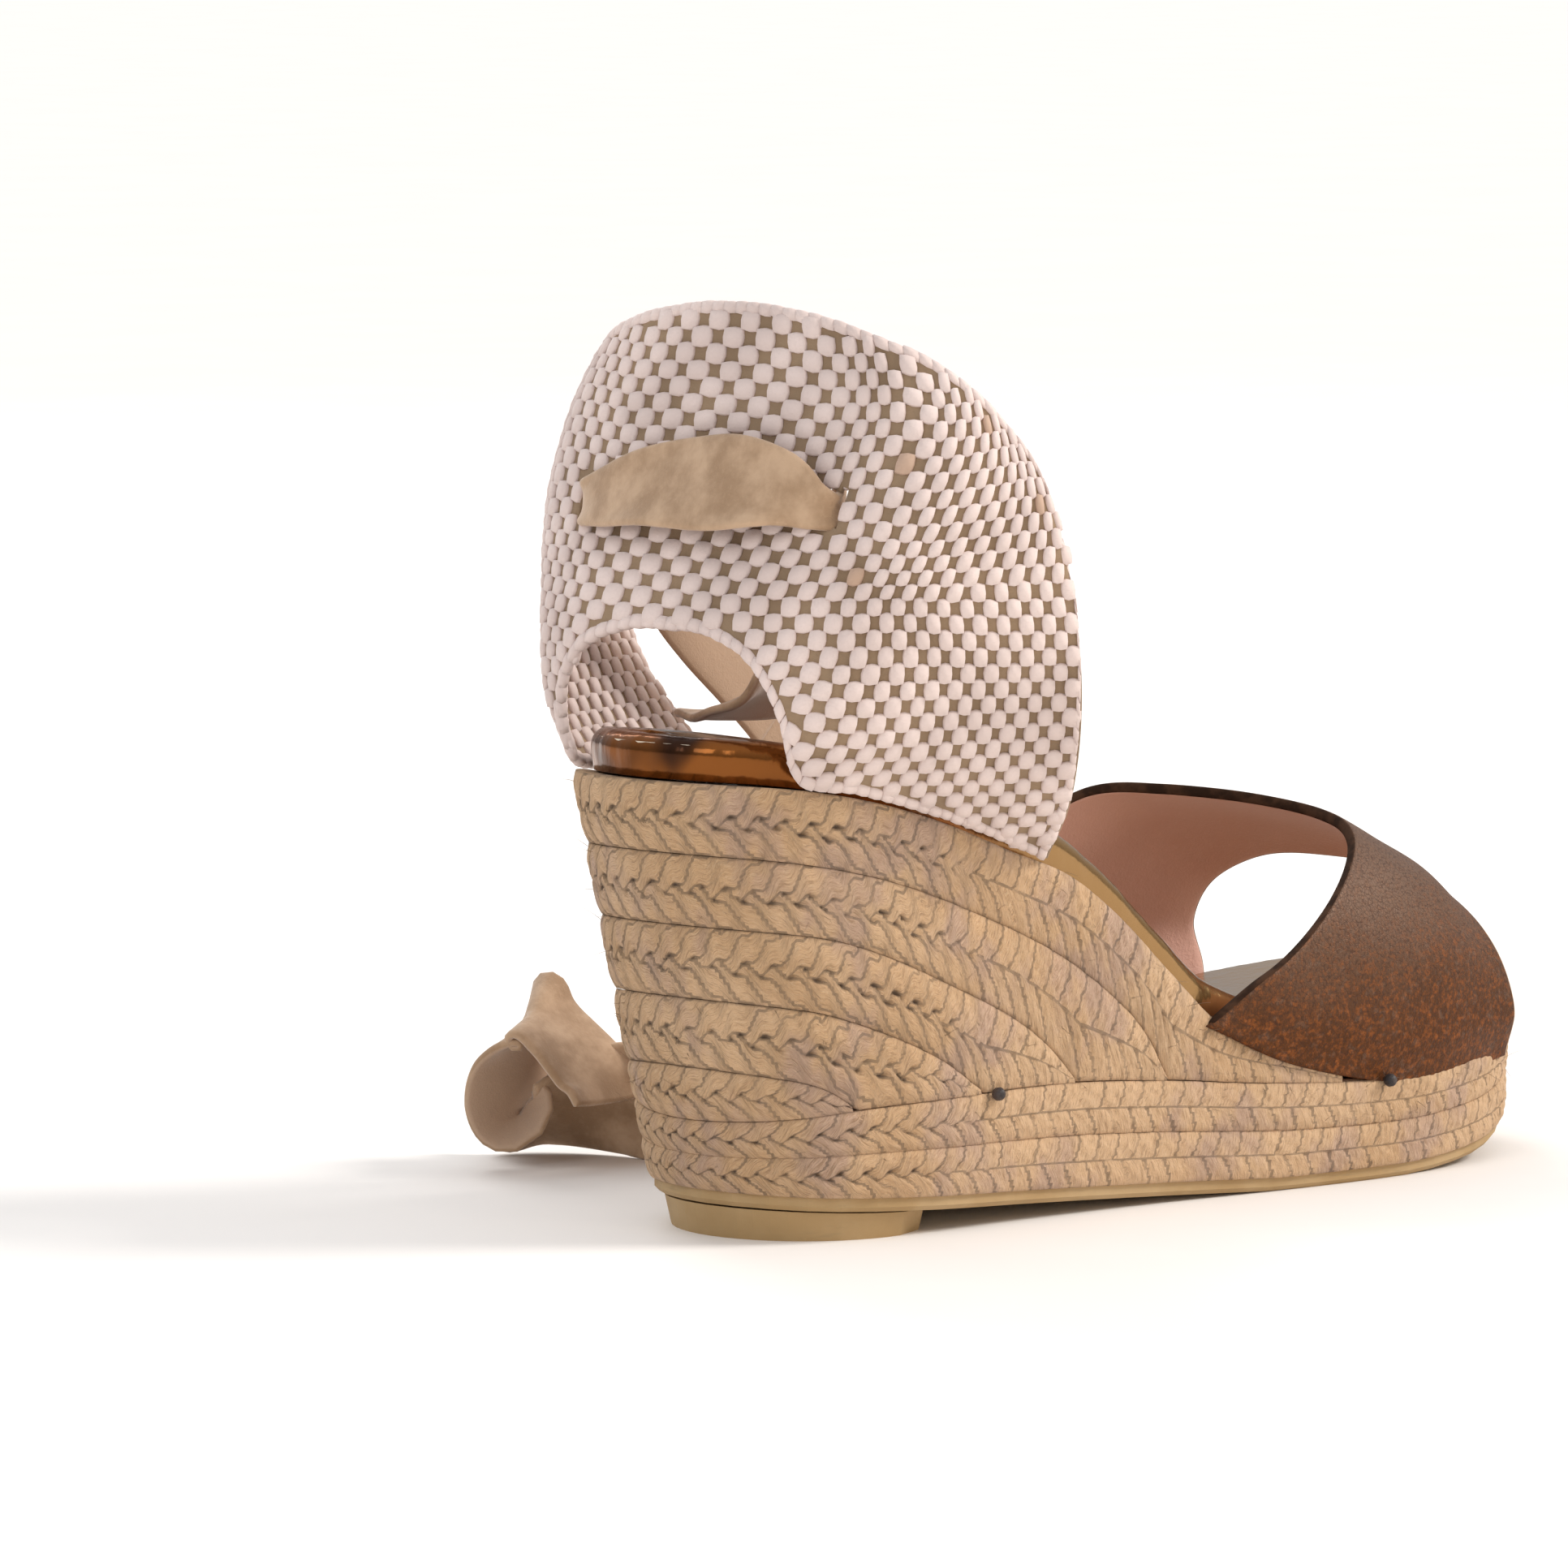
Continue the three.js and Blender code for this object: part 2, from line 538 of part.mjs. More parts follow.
const platformMiddle = (x) => (platformBottom(x) + platformTop(x)) / 2;
addPart('platform_course_lower', platformCourse((x) => platformBottom(x) + GAP, platformMiddle), JUTE);
addPart('platform_course_upper', platformCourse(platformMiddle, platformTop), JUTE);

const courseLines = COURSE_LINES.map(profile);
[...courseLines, () => 0].forEach((low, i) => {
  addPart(`heel_course_${i + 1}`, heelCourse(low, i === 0 ? seat : courseLines[i - 1]), JUTE);
});

SEAM_KNOTS.forEach((knot, i) => addPart(`seam_knot_${i + 1}`, seamKnot(knot), THREAD));
addPart('insole_board', insoleLayer(GAP, GAP + BOARD_THICK, LAYER_INSET), BOARD);
const foamTop = INSOLE_THICK - COVER_SKIN - GAP;
addPart('insole_foam', insoleLayer(2 * GAP + BOARD_THICK, foamTop, LAYER_INSET), FOAM);
addPart('insole_cover', insoleCover(), BRONZE_LEATHER);
addVamp();
addQuarter();
addPart('tie_back_band', strap(BAND_ROUTE, 44), SUEDE);
addPart('tie_outer_run', strap(OUTER_RUN_ROUTE, 24), SUEDE);
addPart('tie_inner_run', strap(INNER_RUN_ROUTE, 20), SUEDE);
addPart('tie_tail', strap(TAIL_ROUTE, 60), SUEDE);

export default sandal;
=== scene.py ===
"""Looks of an open-toe wedge sandal: braided jute wedge, bronze leather, woven ankle cuff and suede tie.

Sizes are in millimetres in the frame of the sandal: +X to the toe, +Y to the inner side of the foot, +Z up.
"""
import logging
import math
from collections.abc import Callable, Sequence
from dataclasses import dataclass, field
from enum import Enum

import bmesh
import bpy
import numpy as np
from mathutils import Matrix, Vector


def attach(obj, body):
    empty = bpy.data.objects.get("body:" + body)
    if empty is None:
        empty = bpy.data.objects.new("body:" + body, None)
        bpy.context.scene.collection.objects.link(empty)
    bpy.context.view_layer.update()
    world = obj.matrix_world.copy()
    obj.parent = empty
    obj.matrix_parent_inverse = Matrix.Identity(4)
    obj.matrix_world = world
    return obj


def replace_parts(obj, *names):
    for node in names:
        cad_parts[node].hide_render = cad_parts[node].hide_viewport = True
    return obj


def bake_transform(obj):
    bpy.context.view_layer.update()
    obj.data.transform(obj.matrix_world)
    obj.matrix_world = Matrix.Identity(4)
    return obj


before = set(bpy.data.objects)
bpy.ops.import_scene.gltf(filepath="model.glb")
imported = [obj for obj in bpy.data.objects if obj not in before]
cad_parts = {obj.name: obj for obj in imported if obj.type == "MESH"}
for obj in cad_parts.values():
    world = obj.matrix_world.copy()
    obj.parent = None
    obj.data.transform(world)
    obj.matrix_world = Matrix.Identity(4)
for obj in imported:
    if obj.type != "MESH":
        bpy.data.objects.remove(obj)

LOG = logging.getLogger("sandal")
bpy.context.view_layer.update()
MM = 0.001
WELD = 0.002 * MM
FRAME_STEP = 0.004
Array = np.ndarray
Colour = tuple[float, float, float]
Surface = Callable[[Array, Array], Array]


# ---------- curves and surfaces ----------
def smooth_step(value: Array, start: float, end: float) -> Array:
    """Return 0 before start, 1 after end and a smooth rise between them."""
    part = np.clip((value - start) / (end - start), 0, 1)
    return part * part * (3 - 2 * part)


def unit(vectors: Array) -> Array:
    """Return the vectors at length one."""
    return vectors / np.maximum(np.linalg.norm(vectors, axis=-1, keepdims=True), 1e-9)


def spline_weights(part: Array) -> Array:
    """Return the four weights of a smooth spline at each place between its middle two points."""
    p, q, r = part, part**2, part**3
    return 0.5 * np.stack([-p + 2 * q - r, 2 - 5 * q + 3 * r, p + 4 * q - 3 * r, r - q], axis=-1)


def open_places(count: int, along: Array) -> tuple[Array, Array]:
    """Find which spline points shape each place on an open line.

    Args:
        count: Number of points on the line.
        along: Places from 0 to 1.

    Returns:
        Indices into the line with one extra point at each end, and their weights.
    """
    step = np.clip(along, 0, 1) * (count - 1)
    first = np.minimum(step.astype(int), count - 2)
    return first[:, None] + np.arange(4), spline_weights(step - first)


def with_ends(points: Array, axis: int = 0) -> Array:
    """Return the row of points with one more point carried on past each end."""
    rows = np.moveaxis(points, axis, 0)
    longer = np.concatenate([2 * rows[:1] - rows[1:2], rows, 2 * rows[-1:] - rows[-2:-1]])
    return np.moveaxis(longer, 0, axis)


class Line:
    """Smooth line through a row of points, open or closed."""

    def __init__(self, points: Sequence, closed: bool = False) -> None:
        """Keep the points of the line."""
        self.points = np.array(points, float)
        self.closed = closed

    def at(self, along: Array) -> Array:
        """Return the points of the line at places from 0 to 1."""
        count = len(self.points)
        if not self.closed:
            places, weights = open_places(count, along)
            return np.einsum("nk,nk...->n...", weights, with_ends(self.points)[places])
        step = (along % 1) * count
        first = np.floor(step).astype(int)
        places = (first[:, None] + np.arange(-1, 3)) % count
        return np.einsum("nk,nk...->n...", spline_weights(step - first), self.points[places])


class Patch:
    """Smooth surface through rows of points: along each row, and across from row to row."""

    def __init__(self, rows: Sequence) -> None:
        """Keep the rows of points."""
        self.rows = np.array(rows, float)

    def at(self, along: Array, across: Array) -> Array:
        """Return the surface points at places along and across, each from 0 to 1."""
        places, weights = open_places(self.rows.shape[1], along)
        hoops = np.einsum("nk,lnkc->nlc", weights, with_ends(self.rows, 1)[:, places])
        places, weights = open_places(self.rows.shape[0], across)
        chosen = np.take_along_axis(with_ends(hoops, 1), places[:, :, None], axis=1)
        return np.einsum("nk,nkc->nc", weights, chosen)


class Profile:
    """Smooth height line over x through [x, z] points."""

    def __init__(self, points: Sequence) -> None:
        """Keep the points of the line."""
        self.x, self.z = np.array(points, float).T

    def __call__(self, x: Array) -> Array:
        """Return the height at each x."""
        last = len(self.x) - 1
        place = np.clip(x, self.x[0], self.x[-1])
        i = np.clip(np.searchsorted(self.x, place) - 1, 0, last - 1)
        before, after = np.maximum(i - 1, 0), np.minimum(i + 2, last)
        span = self.x[i + 1] - self.x[i]
        start = (self.z[i + 1] - self.z[before]) / (self.x[i + 1] - self.x[before]) * span
        end = (self.z[after] - self.z[i]) / (self.x[after] - self.x[i]) * span
        u = (place - self.x[i]) / span
        rise = self.z[i + 1] - self.z[i]
        return self.z[i] + u * (start + u * (3 * rise - 2 * start - end + u * (start + end - 2 * rise)))


def frames_on(surface: Surface, along: Array, across: Array) -> tuple[Array, ...]:
    """Find how a surface lies at some places.

    Args:
        surface: Gives points from places along and across.
        along: Places along, from 0 to 1.
        across: Places across, from 0 to 1.

    Returns:
        The points, the directions along, the directions across and the normals.
    """
    back, ahead = np.clip(along - FRAME_STEP, 0, 1), np.clip(along + FRAME_STEP, 0, 1)
    left, right = np.clip(across - FRAME_STEP, 0, 1), np.clip(across + FRAME_STEP, 0, 1)
    run = unit(surface(ahead, across) - surface(back, across))
    side = unit(surface(along, right) - surface(along, left))
    return surface(along, across), run, side, unit(np.cross(side, run))


# ---------- meshes ----------
class Weave(Enum):
    """Which side of the cloth a tuft stands on."""

    OUTER = 1
    INNER = -1


class Piece:
    """One mesh of the sandal, made from grids that are laid on its shapes."""

    def __init__(self, name: str) -> None:
        """Start an empty mesh with a UV map and a mark at each point."""
        self.name = name
        self.mesh = bmesh.new()
        self.uv = self.mesh.loops.layers.uv.new("UVMap")
        self.mark = self.mesh.verts.layers.float.new("mark")

    def lay_grid(
        self,
        columns: int,
        rows: int,
        place: Surface,
        uv: Callable[[Array, Array], Array] | None = None,
        mark: Callable[[Array, Array], Array] | None = None,
    ) -> list:
        """Add a grid and lay it on a shape.

        Args:
            columns: Steps along the grid's first direction.
            rows: Steps along its second direction.
            place: Gives points in millimetres from places in the two directions, each 0 to 1.
            uv: Gives the UV of each place; the places themselves without it.
            mark: Gives the mark of each place; 0 without it.

        Returns:
            The grid's vertices.
        """
        made = bmesh.ops.create_grid(self.mesh, x_segments=columns, y_segments=rows, size=0.5)["verts"]
        flat = np.array([v.co[:2] for v in made]) + 0.5
        points = place(flat[:, 0], flat[:, 1]) * MM
        chart = flat if uv is None else uv(flat[:, 0], flat[:, 1])
        marks = np.zeros(len(made)) if mark is None else mark(flat[:, 0], flat[:, 1])
        charted = {}
        for vertex, point, place_uv, value in zip(made, points.tolist(), chart.tolist(), marks.tolist()):
            vertex.co = point
            vertex[self.mark] = value
            charted[vertex] = place_uv
        for face in {f for v in made for f in v.link_faces}:
            for loop in face.loops:
                loop[self.uv].uv = charted[loop.vert]
        return made

    def finish(self, material: bpy.types.Material, weld: bool = True, turn_out: bool = True) -> bpy.types.Object:
        """Close the mesh and make it an object.

        Args:
            material: The finish of the piece.
            weld: Whether places that meet become one.
            turn_out: Whether the faces are turned outwards.

        Returns:
            The object, at the origin, with its place in its mesh.
        """
        if weld:
            bmesh.ops.remove_doubles(self.mesh, verts=self.mesh.verts, dist=WELD)
        if turn_out:
            bmesh.ops.recalc_face_normals(self.mesh, faces=self.mesh.faces)
        for face in self.mesh.faces:
            face.smooth = True
        data = bpy.data.meshes.new(self.name)
        self.mesh.to_mesh(data)
        self.mesh.free()
        data.materials.append(material)
        made = bpy.data.objects.new(self.name, data)
        bpy.context.scene.collection.objects.link(made)
        LOG.info("%s: %d faces", self.name, len(data.polygons))
        return made


@dataclass
class Skin:
    """Closed skin round a surface: a front and a back face, rounded rims and closed ends."""

    surface: Surface
    rows: int
    columns: int
    front: float
    back: float
    rim_steps: int = 4
    end_round: float = 0.5

    def section(self) -> tuple[Array, Array, Array]:
        """Return the places across, the rim reach and the depth of one trip round the section."""
        face = np.linspace(0, 1, self.columns + 1)
        turn = np.linspace(math.pi / 2, -math.pi / 2, self.rim_steps + 1)[1:-1]
        flat = np.zeros(self.columns + 1)
        across = np.concatenate([face, np.ones(len(turn)), face[::-1], np.zeros(len(turn)), [0]])
        reach = np.concatenate([flat, np.cos(turn), flat, -np.cos(turn), [0]])
        depth = np.concatenate([flat + 1, np.sin(turn), flat - 1, -np.sin(turn), [1]])
        return across, reach, depth

    def place(self, around: Array, along: Array) -> Array:
        """Return the skin's points from places round the section and along the surface."""
        across, reach, depth = self.section()
        steps = np.arange(len(across))
        at = around * (len(across) - 1)
        row = along * (self.rows + 2)
        capped = np.where((row < 0.5) | (row > self.rows + 1.5), 0.0, 1.0)
        along = np.clip((row - 1) / self.rows, 0, 1)
        point, run, side, normal = frames_on(self.surface, along, np.interp(at, steps, across))
        half = (self.front - self.back) / 2
        out = np.interp(at, steps, depth) * half * (self.end_round + (1 - self.end_round) * capped) * capped
        rim = np.interp(at, steps, reach) * half
        push = np.where(row < 0.5, -1.0, np.where(row > self.rows + 1.5, 1.0, 0.0)) * half * self.end_round
        middle = (self.front + self.back) / 2
        return point + normal * (middle + out)[:, None] + side * rim[:, None] + run * push[:, None]

    def chart(self, around: Array, along: Array) -> Array:
        """Return UVs as places across, which run on over the back, and along."""
        across, _, depth = self.section()
        at = around * (len(across) - 1)
        steps = np.arange(len(across))
        return np.stack([np.interp(at, steps, across) + 1.5 * (np.interp(at, steps, depth) < 0), along], axis=-1)

    def back_mark(self, around: Array, along: Array) -> Array:
        """Return 1 on the back face and 0 on the front."""
        depth = self.section()[2]
        return 0.5 - 0.5 * np.interp(around * (len(depth) - 1), np.arange(len(depth)), depth)

    def lay(self, piece: Piece, chart: Callable[[Array, Array], Array] | None = None) -> list:
        """Add the skin to a piece and return its vertices."""
        count = len(self.section()[0]) - 1
        return piece.lay_grid(count, self.rows + 2, self.place, chart or self.chart, self.back_mark)


# ---------- finishes ----------
class Mixer:
    """Node tree of one material, with short calls for the nodes that finishes share."""

    def __init__(self, name: str) -> None:
        """Start a material with a plain shader."""
        self.material = bpy.data.materials.new(name)
        self.material.use_nodes = True
        self.nodes = self.material.node_tree.nodes
        self.links = self.material.node_tree.links
        self.shader = self.nodes["Principled BSDF"]

    def node(self, kind: str, **values: object) -> bpy.types.Node:
        """Add a node and set its properties."""
        made = self.nodes.new(kind)
        for key, value in values.items():
            setattr(made, key, value)
        return made

    def feed(self, socket: bpy.types.NodeSocket, value: object) -> None:
        """Link a socket, or set a number or colour on it."""
        if isinstance(value, bpy.types.NodeSocket):
            self.links.new(value, socket)
        elif isinstance(value, tuple) and len(value) == 3 and socket.type == "RGBA":
            socket.default_value = (*value, 1)
        else:
            socket.default_value = value

    def wire(self, made: bpy.types.Node, output: str, **values: object) -> object:
        """Feed a node's sockets by name and return one of its outputs."""
        for key, value in values.items():
            self.feed(made.inputs[key.replace("_", " ")], value)
        return made.outputs[output]

    def wired(self, kind: str, output: str, **values: object) -> object:
        """Add a node, feed its sockets by name and return one of its outputs."""
        return self.wire(self.node(kind), output, **values)

    def axis(self, name: str) -> object:
        """Return one of the object coordinates."""
        return self.wired("ShaderNodeSeparateXYZ", name, Vector=self.object_place())

    def share(self, value: object, low: float, high: float, most: float) -> object:
        """Return a value stretched so that low becomes 0 and high becomes the most."""
        return self.math("MULTIPLY", self.ramp(value, low, high), most)

    def object_place(self, scale: tuple[float, float, float] = (1, 1, 1)) -> object:
        """Return object coordinates, scaled."""
        return self.scaled(self.node("ShaderNodeTexCoord").outputs["Object"], scale)

    def surface_place(self, scale: tuple[float, float, float] = (1, 1, 1)) -> object:
        """Return the piece's own UV, scaled."""
        return self.scaled(self.node("ShaderNodeUVMap", uv_map="UVMap").outputs["UV"], scale)

    def scaled(self, source: object, scale: tuple[float, float, float]) -> object:
        """Return coordinates after a scale."""
        return self.wired("ShaderNodeMapping", "Vector", Vector=source, Scale=scale)

    def mark(self) -> object:
        """Return the mark that the mesh carries at each point."""
        return self.node("ShaderNodeAttribute", attribute_name="mark").outputs["Fac"]

    def noise(self, place: object, scale: float, detail: float = 3, roughness: float = 0.55) -> object:
        """Return cloudy noise from 0 to 1."""
        return self.wired("ShaderNodeTexNoise", "Fac", Vector=place, Scale=scale, Detail=detail, Roughness=roughness)

    def cells(self, place: object, scale: float, feature: str = "F1") -> object:
        """Return the distance pattern of scattered cells."""
        made = self.node("ShaderNodeTexVoronoi", feature=feature)
        return self.wire(made, "Distance", Vector=place, Scale=scale)

    def ramp(self, value: object, low: float, high: float) -> object:
        """Return a value stretched so that low becomes 0 and high 1."""
        made = self.node("ShaderNodeMapRange", interpolation_type="SMOOTHSTEP")
        return self.wire(made, "Result", Value=value, From_Min=low, From_Max=high)

    def fit(self, value: object, low: float, high: float) -> object:
        """Return a 0 to 1 value as a number from low to high."""
        return self.wired("ShaderNodeMapRange", "Result", Value=value, To_Min=low, To_Max=high)

    def math(self, operation: str, first: object, second: object = 0.0) -> object:
        """Return the result of one sum."""
        made = self.node("ShaderNodeMath", operation=operation)
        self.feed(made.inputs[0], first)
        self.feed(made.inputs[1], second)
        return made.outputs[0]

    def blend(self, share: object, first: object, second: object) -> object:
        """Return a mix of two colours."""
        made = self.node("ShaderNodeMix", data_type="RGBA")
        for key, value in (("Factor", share), ("A", first), ("B", second)):
            self.feed(made.inputs[key], value)
        return made.outputs["Result"]

    def bump(self, height: object, strength: float, reach: float, under: object = None) -> object:
        """Return a normal raised by a height, over another normal."""
        made = self.node("ShaderNodeBump")
        if under is not None:
            self.feed(made.inputs["Normal"], under)
        return self.wire(made, "Normal", Height=height, Strength=strength, Distance=reach * MM)

    def coat(self, **values: object) -> bpy.types.Material:
        """Set the shader's sockets by name and return the material."""
        for key, value in values.items():
            self.feed(self.shader.inputs[key.replace("_", " ")], value)
        return self.material


@dataclass(frozen=True)
class JuteFinish:
    """Natural jute braid: streaky fibres, painted shade in the notches and seams, and warm and pinkish patches."""

    light: Colour = (0.60, 0.392, 0.226)
    warm: Colour = (0.535, 0.335, 0.180)
    pink: Colour = (0.437, 0.288, 0.212)
    bleached: Colour = (0.665, 0.48, 0.31)
    dark: Colour = (0.256, 0.146, 0.068)
    # colour of the painted shade laid into the braid's notches and seams where the mesh mark is high
    hollow_shade: Colour = (0.14, 0.08, 0.038)

    def material(self) -> bpy.types.Material:
        """Return the material."""
        mix = Mixer("jute_braid")
        fibres = mix.noise(mix.surface_place((44, 4.5, 1)), 1, 3, 0.7)
        threads = mix.noise(mix.surface_place((13, 2.2, 1)), 1, 3, 0.6)
        fuzz = mix.noise(mix.object_place(), 900, 3, 0.7)
        patches = mix.noise(mix.object_place(), 30, 3)
        ends = mix.noise(mix.object_place((1, 1, 0.7)), 75, 3)
        body = mix.blend(mix.ramp(patches, 0.40, 0.60), self.warm, self.light)
        body = mix.blend(mix.share(ends, 0.48, 0.66, 0.8), body, self.pink)
        body = mix.blend(mix.share(threads, 0.50, 0.72, 0.55), body, self.dark)
        body = mix.blend(mix.share(fibres, 0.50, 0.70, 0.55), body, self.dark)
        body = mix.blend(mix.share(fibres, 0.48, 0.34, 0.45), body, self.bleached)
        # painted shade: the mark darkens the notches and seams
        body = mix.blend(mix.ramp(mix.mark(), 0.22, 0.95), body, self.hollow_shade)
        height = mix.math("ADD", fibres, mix.math("MULTIPLY", threads, 0.8))
        height = mix.math("ADD", height, mix.math("MULTIPLY", fuzz, 1.1))
        return mix.coat(
            Base_Color=body,
            Roughness=0.92,
            Specular_IOR_Level=0.2,
            Sheen_Weight=0.12,
            Sheen_Roughness=0.6,
            Normal=mix.bump(height, 1.0, 0.34),
        )


@dataclass(frozen=True)
class RubberFinish:
    """Matt olive-beige outsole rubber with scuffs."""

    body: Colour = (0.37, 0.24, 0.108)
    worn: Colour = (0.44, 0.305, 0.16)

    def material(self) -> bpy.types.Material:
        """Return the material."""
        mix = Mixer("outsole_rubber")
        cloud = mix.noise(mix.object_place(), 60, 4)
        grain = mix.noise(mix.object_place(), 1400, 2)
        scuffs = mix.noise(mix.object_place((1, 1, 12)), 90, 4)
        body = mix.blend(mix.ramp(cloud, 0.35, 0.7), self.body, self.worn)
        body = mix.blend(mix.share(scuffs, 0.6, 0.8, 0.4), body, (0.2, 0.16, 0.09))
        height = mix.math("ADD", grain, mix.math("MULTIPLY", scuffs, 0.8))
        return mix.coat(
            Base_Color=body,
            Roughness=mix.fit(cloud, 0.6, 0.85),
            Specular_IOR_Level=0.35,
            Normal=mix.bump(height, 0.4, 0.10),
        )


@dataclass(frozen=True)
class BronzeFinish:
    """Glossy metallic bronze leather of the insole, with painted blotches of orange glint and dark reflection, painted
    a lighter gold towards the toe where the arch side catches the light.
    """

    body: Colour = (0.215, 0.068, 0.010)
    deep: Colour = (0.026, 0.007, 0.001)
    lit_gold: Colour = (0.33, 0.19, 0.075)

    def material(self) -> bpy.types.Material:
        """Return the material."""
        mix = Mixer("bronze_leather")
        cloud = mix.noise(mix.object_place(), 52, 2)
        pores = mix.cells(mix.object_place(), 900)
        creases = mix.noise(mix.object_place((1, 1, 0.35)), 190, 3)
        # painted reflection: cloud blotches of orange glint and near-black reflection
        body = mix.blend(mix.ramp(cloud, 0.38, 0.62), self.body, self.deep)
        # painted light: the colour turns a lighter gold from the heel forward, as the lit arch side looks
        body = mix.blend(mix.ramp(mix.axis("X"), 0.0, 0.035), body, self.lit_gold)
        pitted = mix.bump(pores, 0.12, 0.08)
        return mix.coat(
            Base_Color=body,
            Metallic=0.85,
            Roughness=mix.fit(cloud, 0.12, 0.24),
            Coat_Weight=0.08,
            Coat_Roughness=0.12,
            Normal=mix.bump(creases, 0.6, 0.6, pitted),
        )


@dataclass(frozen=True)
class CrackleFinish:
    """Crackled leather of the vamp: brown with dark cracks and pale flecks, a painted pale sheen towards the top and
    painted orange glints towards the bottom.
    """

    body: Colour = (0.080, 0.026, 0.005)
    pale_fleck_and_sheen: Colour = (0.152, 0.092, 0.062)
    painted_glint: Colour = (0.30, 0.088, 0.018)
    crack: Colour = (0.045, 0.020, 0.012)

    def material(self) -> bpy.types.Material:
        """Return the material."""
        mix = Mixer("crackle_leather")
        place = mix.object_place()
        wander = mix.noise(place, 300, 2)
        cracks = mix.cells(place, 1150, "DISTANCE_TO_EDGE")
        flakes = mix.cells(place, 1700)
        cloud = mix.noise(place, 42, 4)
        speckle = mix.noise(place, 480, 3, 0.65)
        spark = mix.noise(place, 900, 3, 0.6)
        # painted sheen: the vamp turns paler towards the top, standing in for the white surroundings it reflects
        upper_sheen = mix.ramp(mix.math("ADD", mix.axis("Z"), mix.math("MULTIPLY", cloud, 0.022)), 0.036, 0.070)
        body = mix.blend(mix.math("MULTIPLY", upper_sheen, 0.8), self.body, self.pale_fleck_and_sheen)
        body = mix.blend(mix.share(speckle, 0.52, 0.68, 0.45), body, self.pale_fleck_and_sheen)
        # painted glints: orange speckles, strongest low on the vamp
        low_glint_share = mix.math("MULTIPLY", mix.ramp(spark, 0.42, 0.74), mix.fit(upper_sheen, 0.75, 0.1))
        body = mix.blend(low_glint_share, body, self.painted_glint)
        body = mix.blend(mix.share(flakes, 0.5, 0.85, 0.5), body, self.crack)
        open_cracks = mix.ramp(mix.math("ADD", cracks, mix.math("MULTIPLY", wander, 0.06)), 0.11, 0.04)
        body = mix.blend(mix.math("MULTIPLY", open_cracks, 0.45), body, self.crack)
        height = mix.math("ADD", mix.ramp(cracks, 0.0, 0.14), mix.math("MULTIPLY", flakes, -0.5))
        return mix.coat(
            Base_Color=body,
            Metallic=0.25,
            Roughness=mix.fit(spark, 0.42, 0.62),
            Specular_IOR_Level=0.15,
            Normal=mix.bump(height, 0.4, 0.10),
        )


@dataclass(frozen=True)
class SuedeFinish:
    """Suede or soft leather: a napped face in soft patches, and a paler back."""

    name: str = "suede"
    face: Colour = (0.345, 0.220, 0.130)
    brushed: Colour = (0.53, 0.362, 0.235)
    back: Colour = (0.47, 0.325, 0.225)
    nap: float = 2600
    sheen: float = 0.35

    def material(self) -> bpy.types.Material:
        """Return the material."""
        mix = Mixer(self.name)
        cloud = mix.noise(mix.object_place(), 95, 4, 0.6)
        nap = mix.noise(mix.object_place(), self.nap, 2, 0.7)
        fuzz = mix.noise(mix.object_place(), self.nap * 0.35, 3, 0.7)
        face = mix.blend(mix.ramp(cloud, 0.36, 0.68), self.face, self.brushed)
        face = mix.blend(mix.ramp(mix.mark(), 0.55, 0.8), face, self.back)
        face = mix.blend(mix.share(fuzz, 0.5, 0.72, 0.22), face, self.brushed)
        height = mix.math("ADD", nap, mix.math("MULTIPLY", fuzz, 1.3))
        return mix.coat(
            Base_Color=face,
            Roughness=0.95,
            Specular_IOR_Level=0.15,
            Sheen_Weight=self.sheen,
            Sheen_Roughness=0.45,
            Normal=mix.bump(height, 0.55, 0.14),
        )


@dataclass(frozen=True)
class YarnFinish:
    """Off-white cotton yarn of the tufts, or the darker yarn of the ground cloth."""

    name: str
    body: Colour
    shade: Colour
    fleck: Colour
    fleck_share: float = 0.0

    def material(self) -> bpy.types.Material:
        """Return the material."""
        mix = Mixer(self.name)
        cloud = mix.noise(mix.object_place(), 45, 2)
        spin = mix.noise(mix.object_place((1, 1, 1.6)), 1500, 3)
        body = mix.blend(mix.ramp(cloud, 0.35, 0.65), self.body, self.shade)
        body = mix.blend(mix.share(spin, 0.45, 0.8, 0.35), body, self.shade)
        body = mix.blend(mix.share(mix.mark(), 0.6, 0.9, self.fleck_share), body, self.fleck)
        return mix.coat(
            Base_Color=body,
            Roughness=0.9,
            Specular_IOR_Level=0.2,
            Sheen_Weight=0.15,
            Sheen_Roughness=0.5,
            Normal=mix.bump(spin, 0.5, 0.16),
        )


@dataclass(frozen=True)
class PlainFinish:
    """Quiet finish for thread, hidden board, foam and cork: clouded colour and a fine grain."""

    name: str
    body: Colour
    other: Colour
    grain: float = 700
    roughness: float = 0.85
    shine: float = 0.3

    def material(self) -> bpy.types.Material:
        """Return the material."""
        mix = Mixer(self.name)
        cloud = mix.noise(mix.object_place(), self.grain * 0.25, 3)
        grain = mix.noise(mix.object_place(), self.grain, 3)
        return mix.coat(
            Base_Color=mix.blend(mix.ramp(cloud, 0.4, 0.6), self.body, self.other),
            Roughness=self.roughness,
            Specular_IOR_Level=self.shine,
            Normal=mix.bump(grain, 0.4, 0.15),
        )


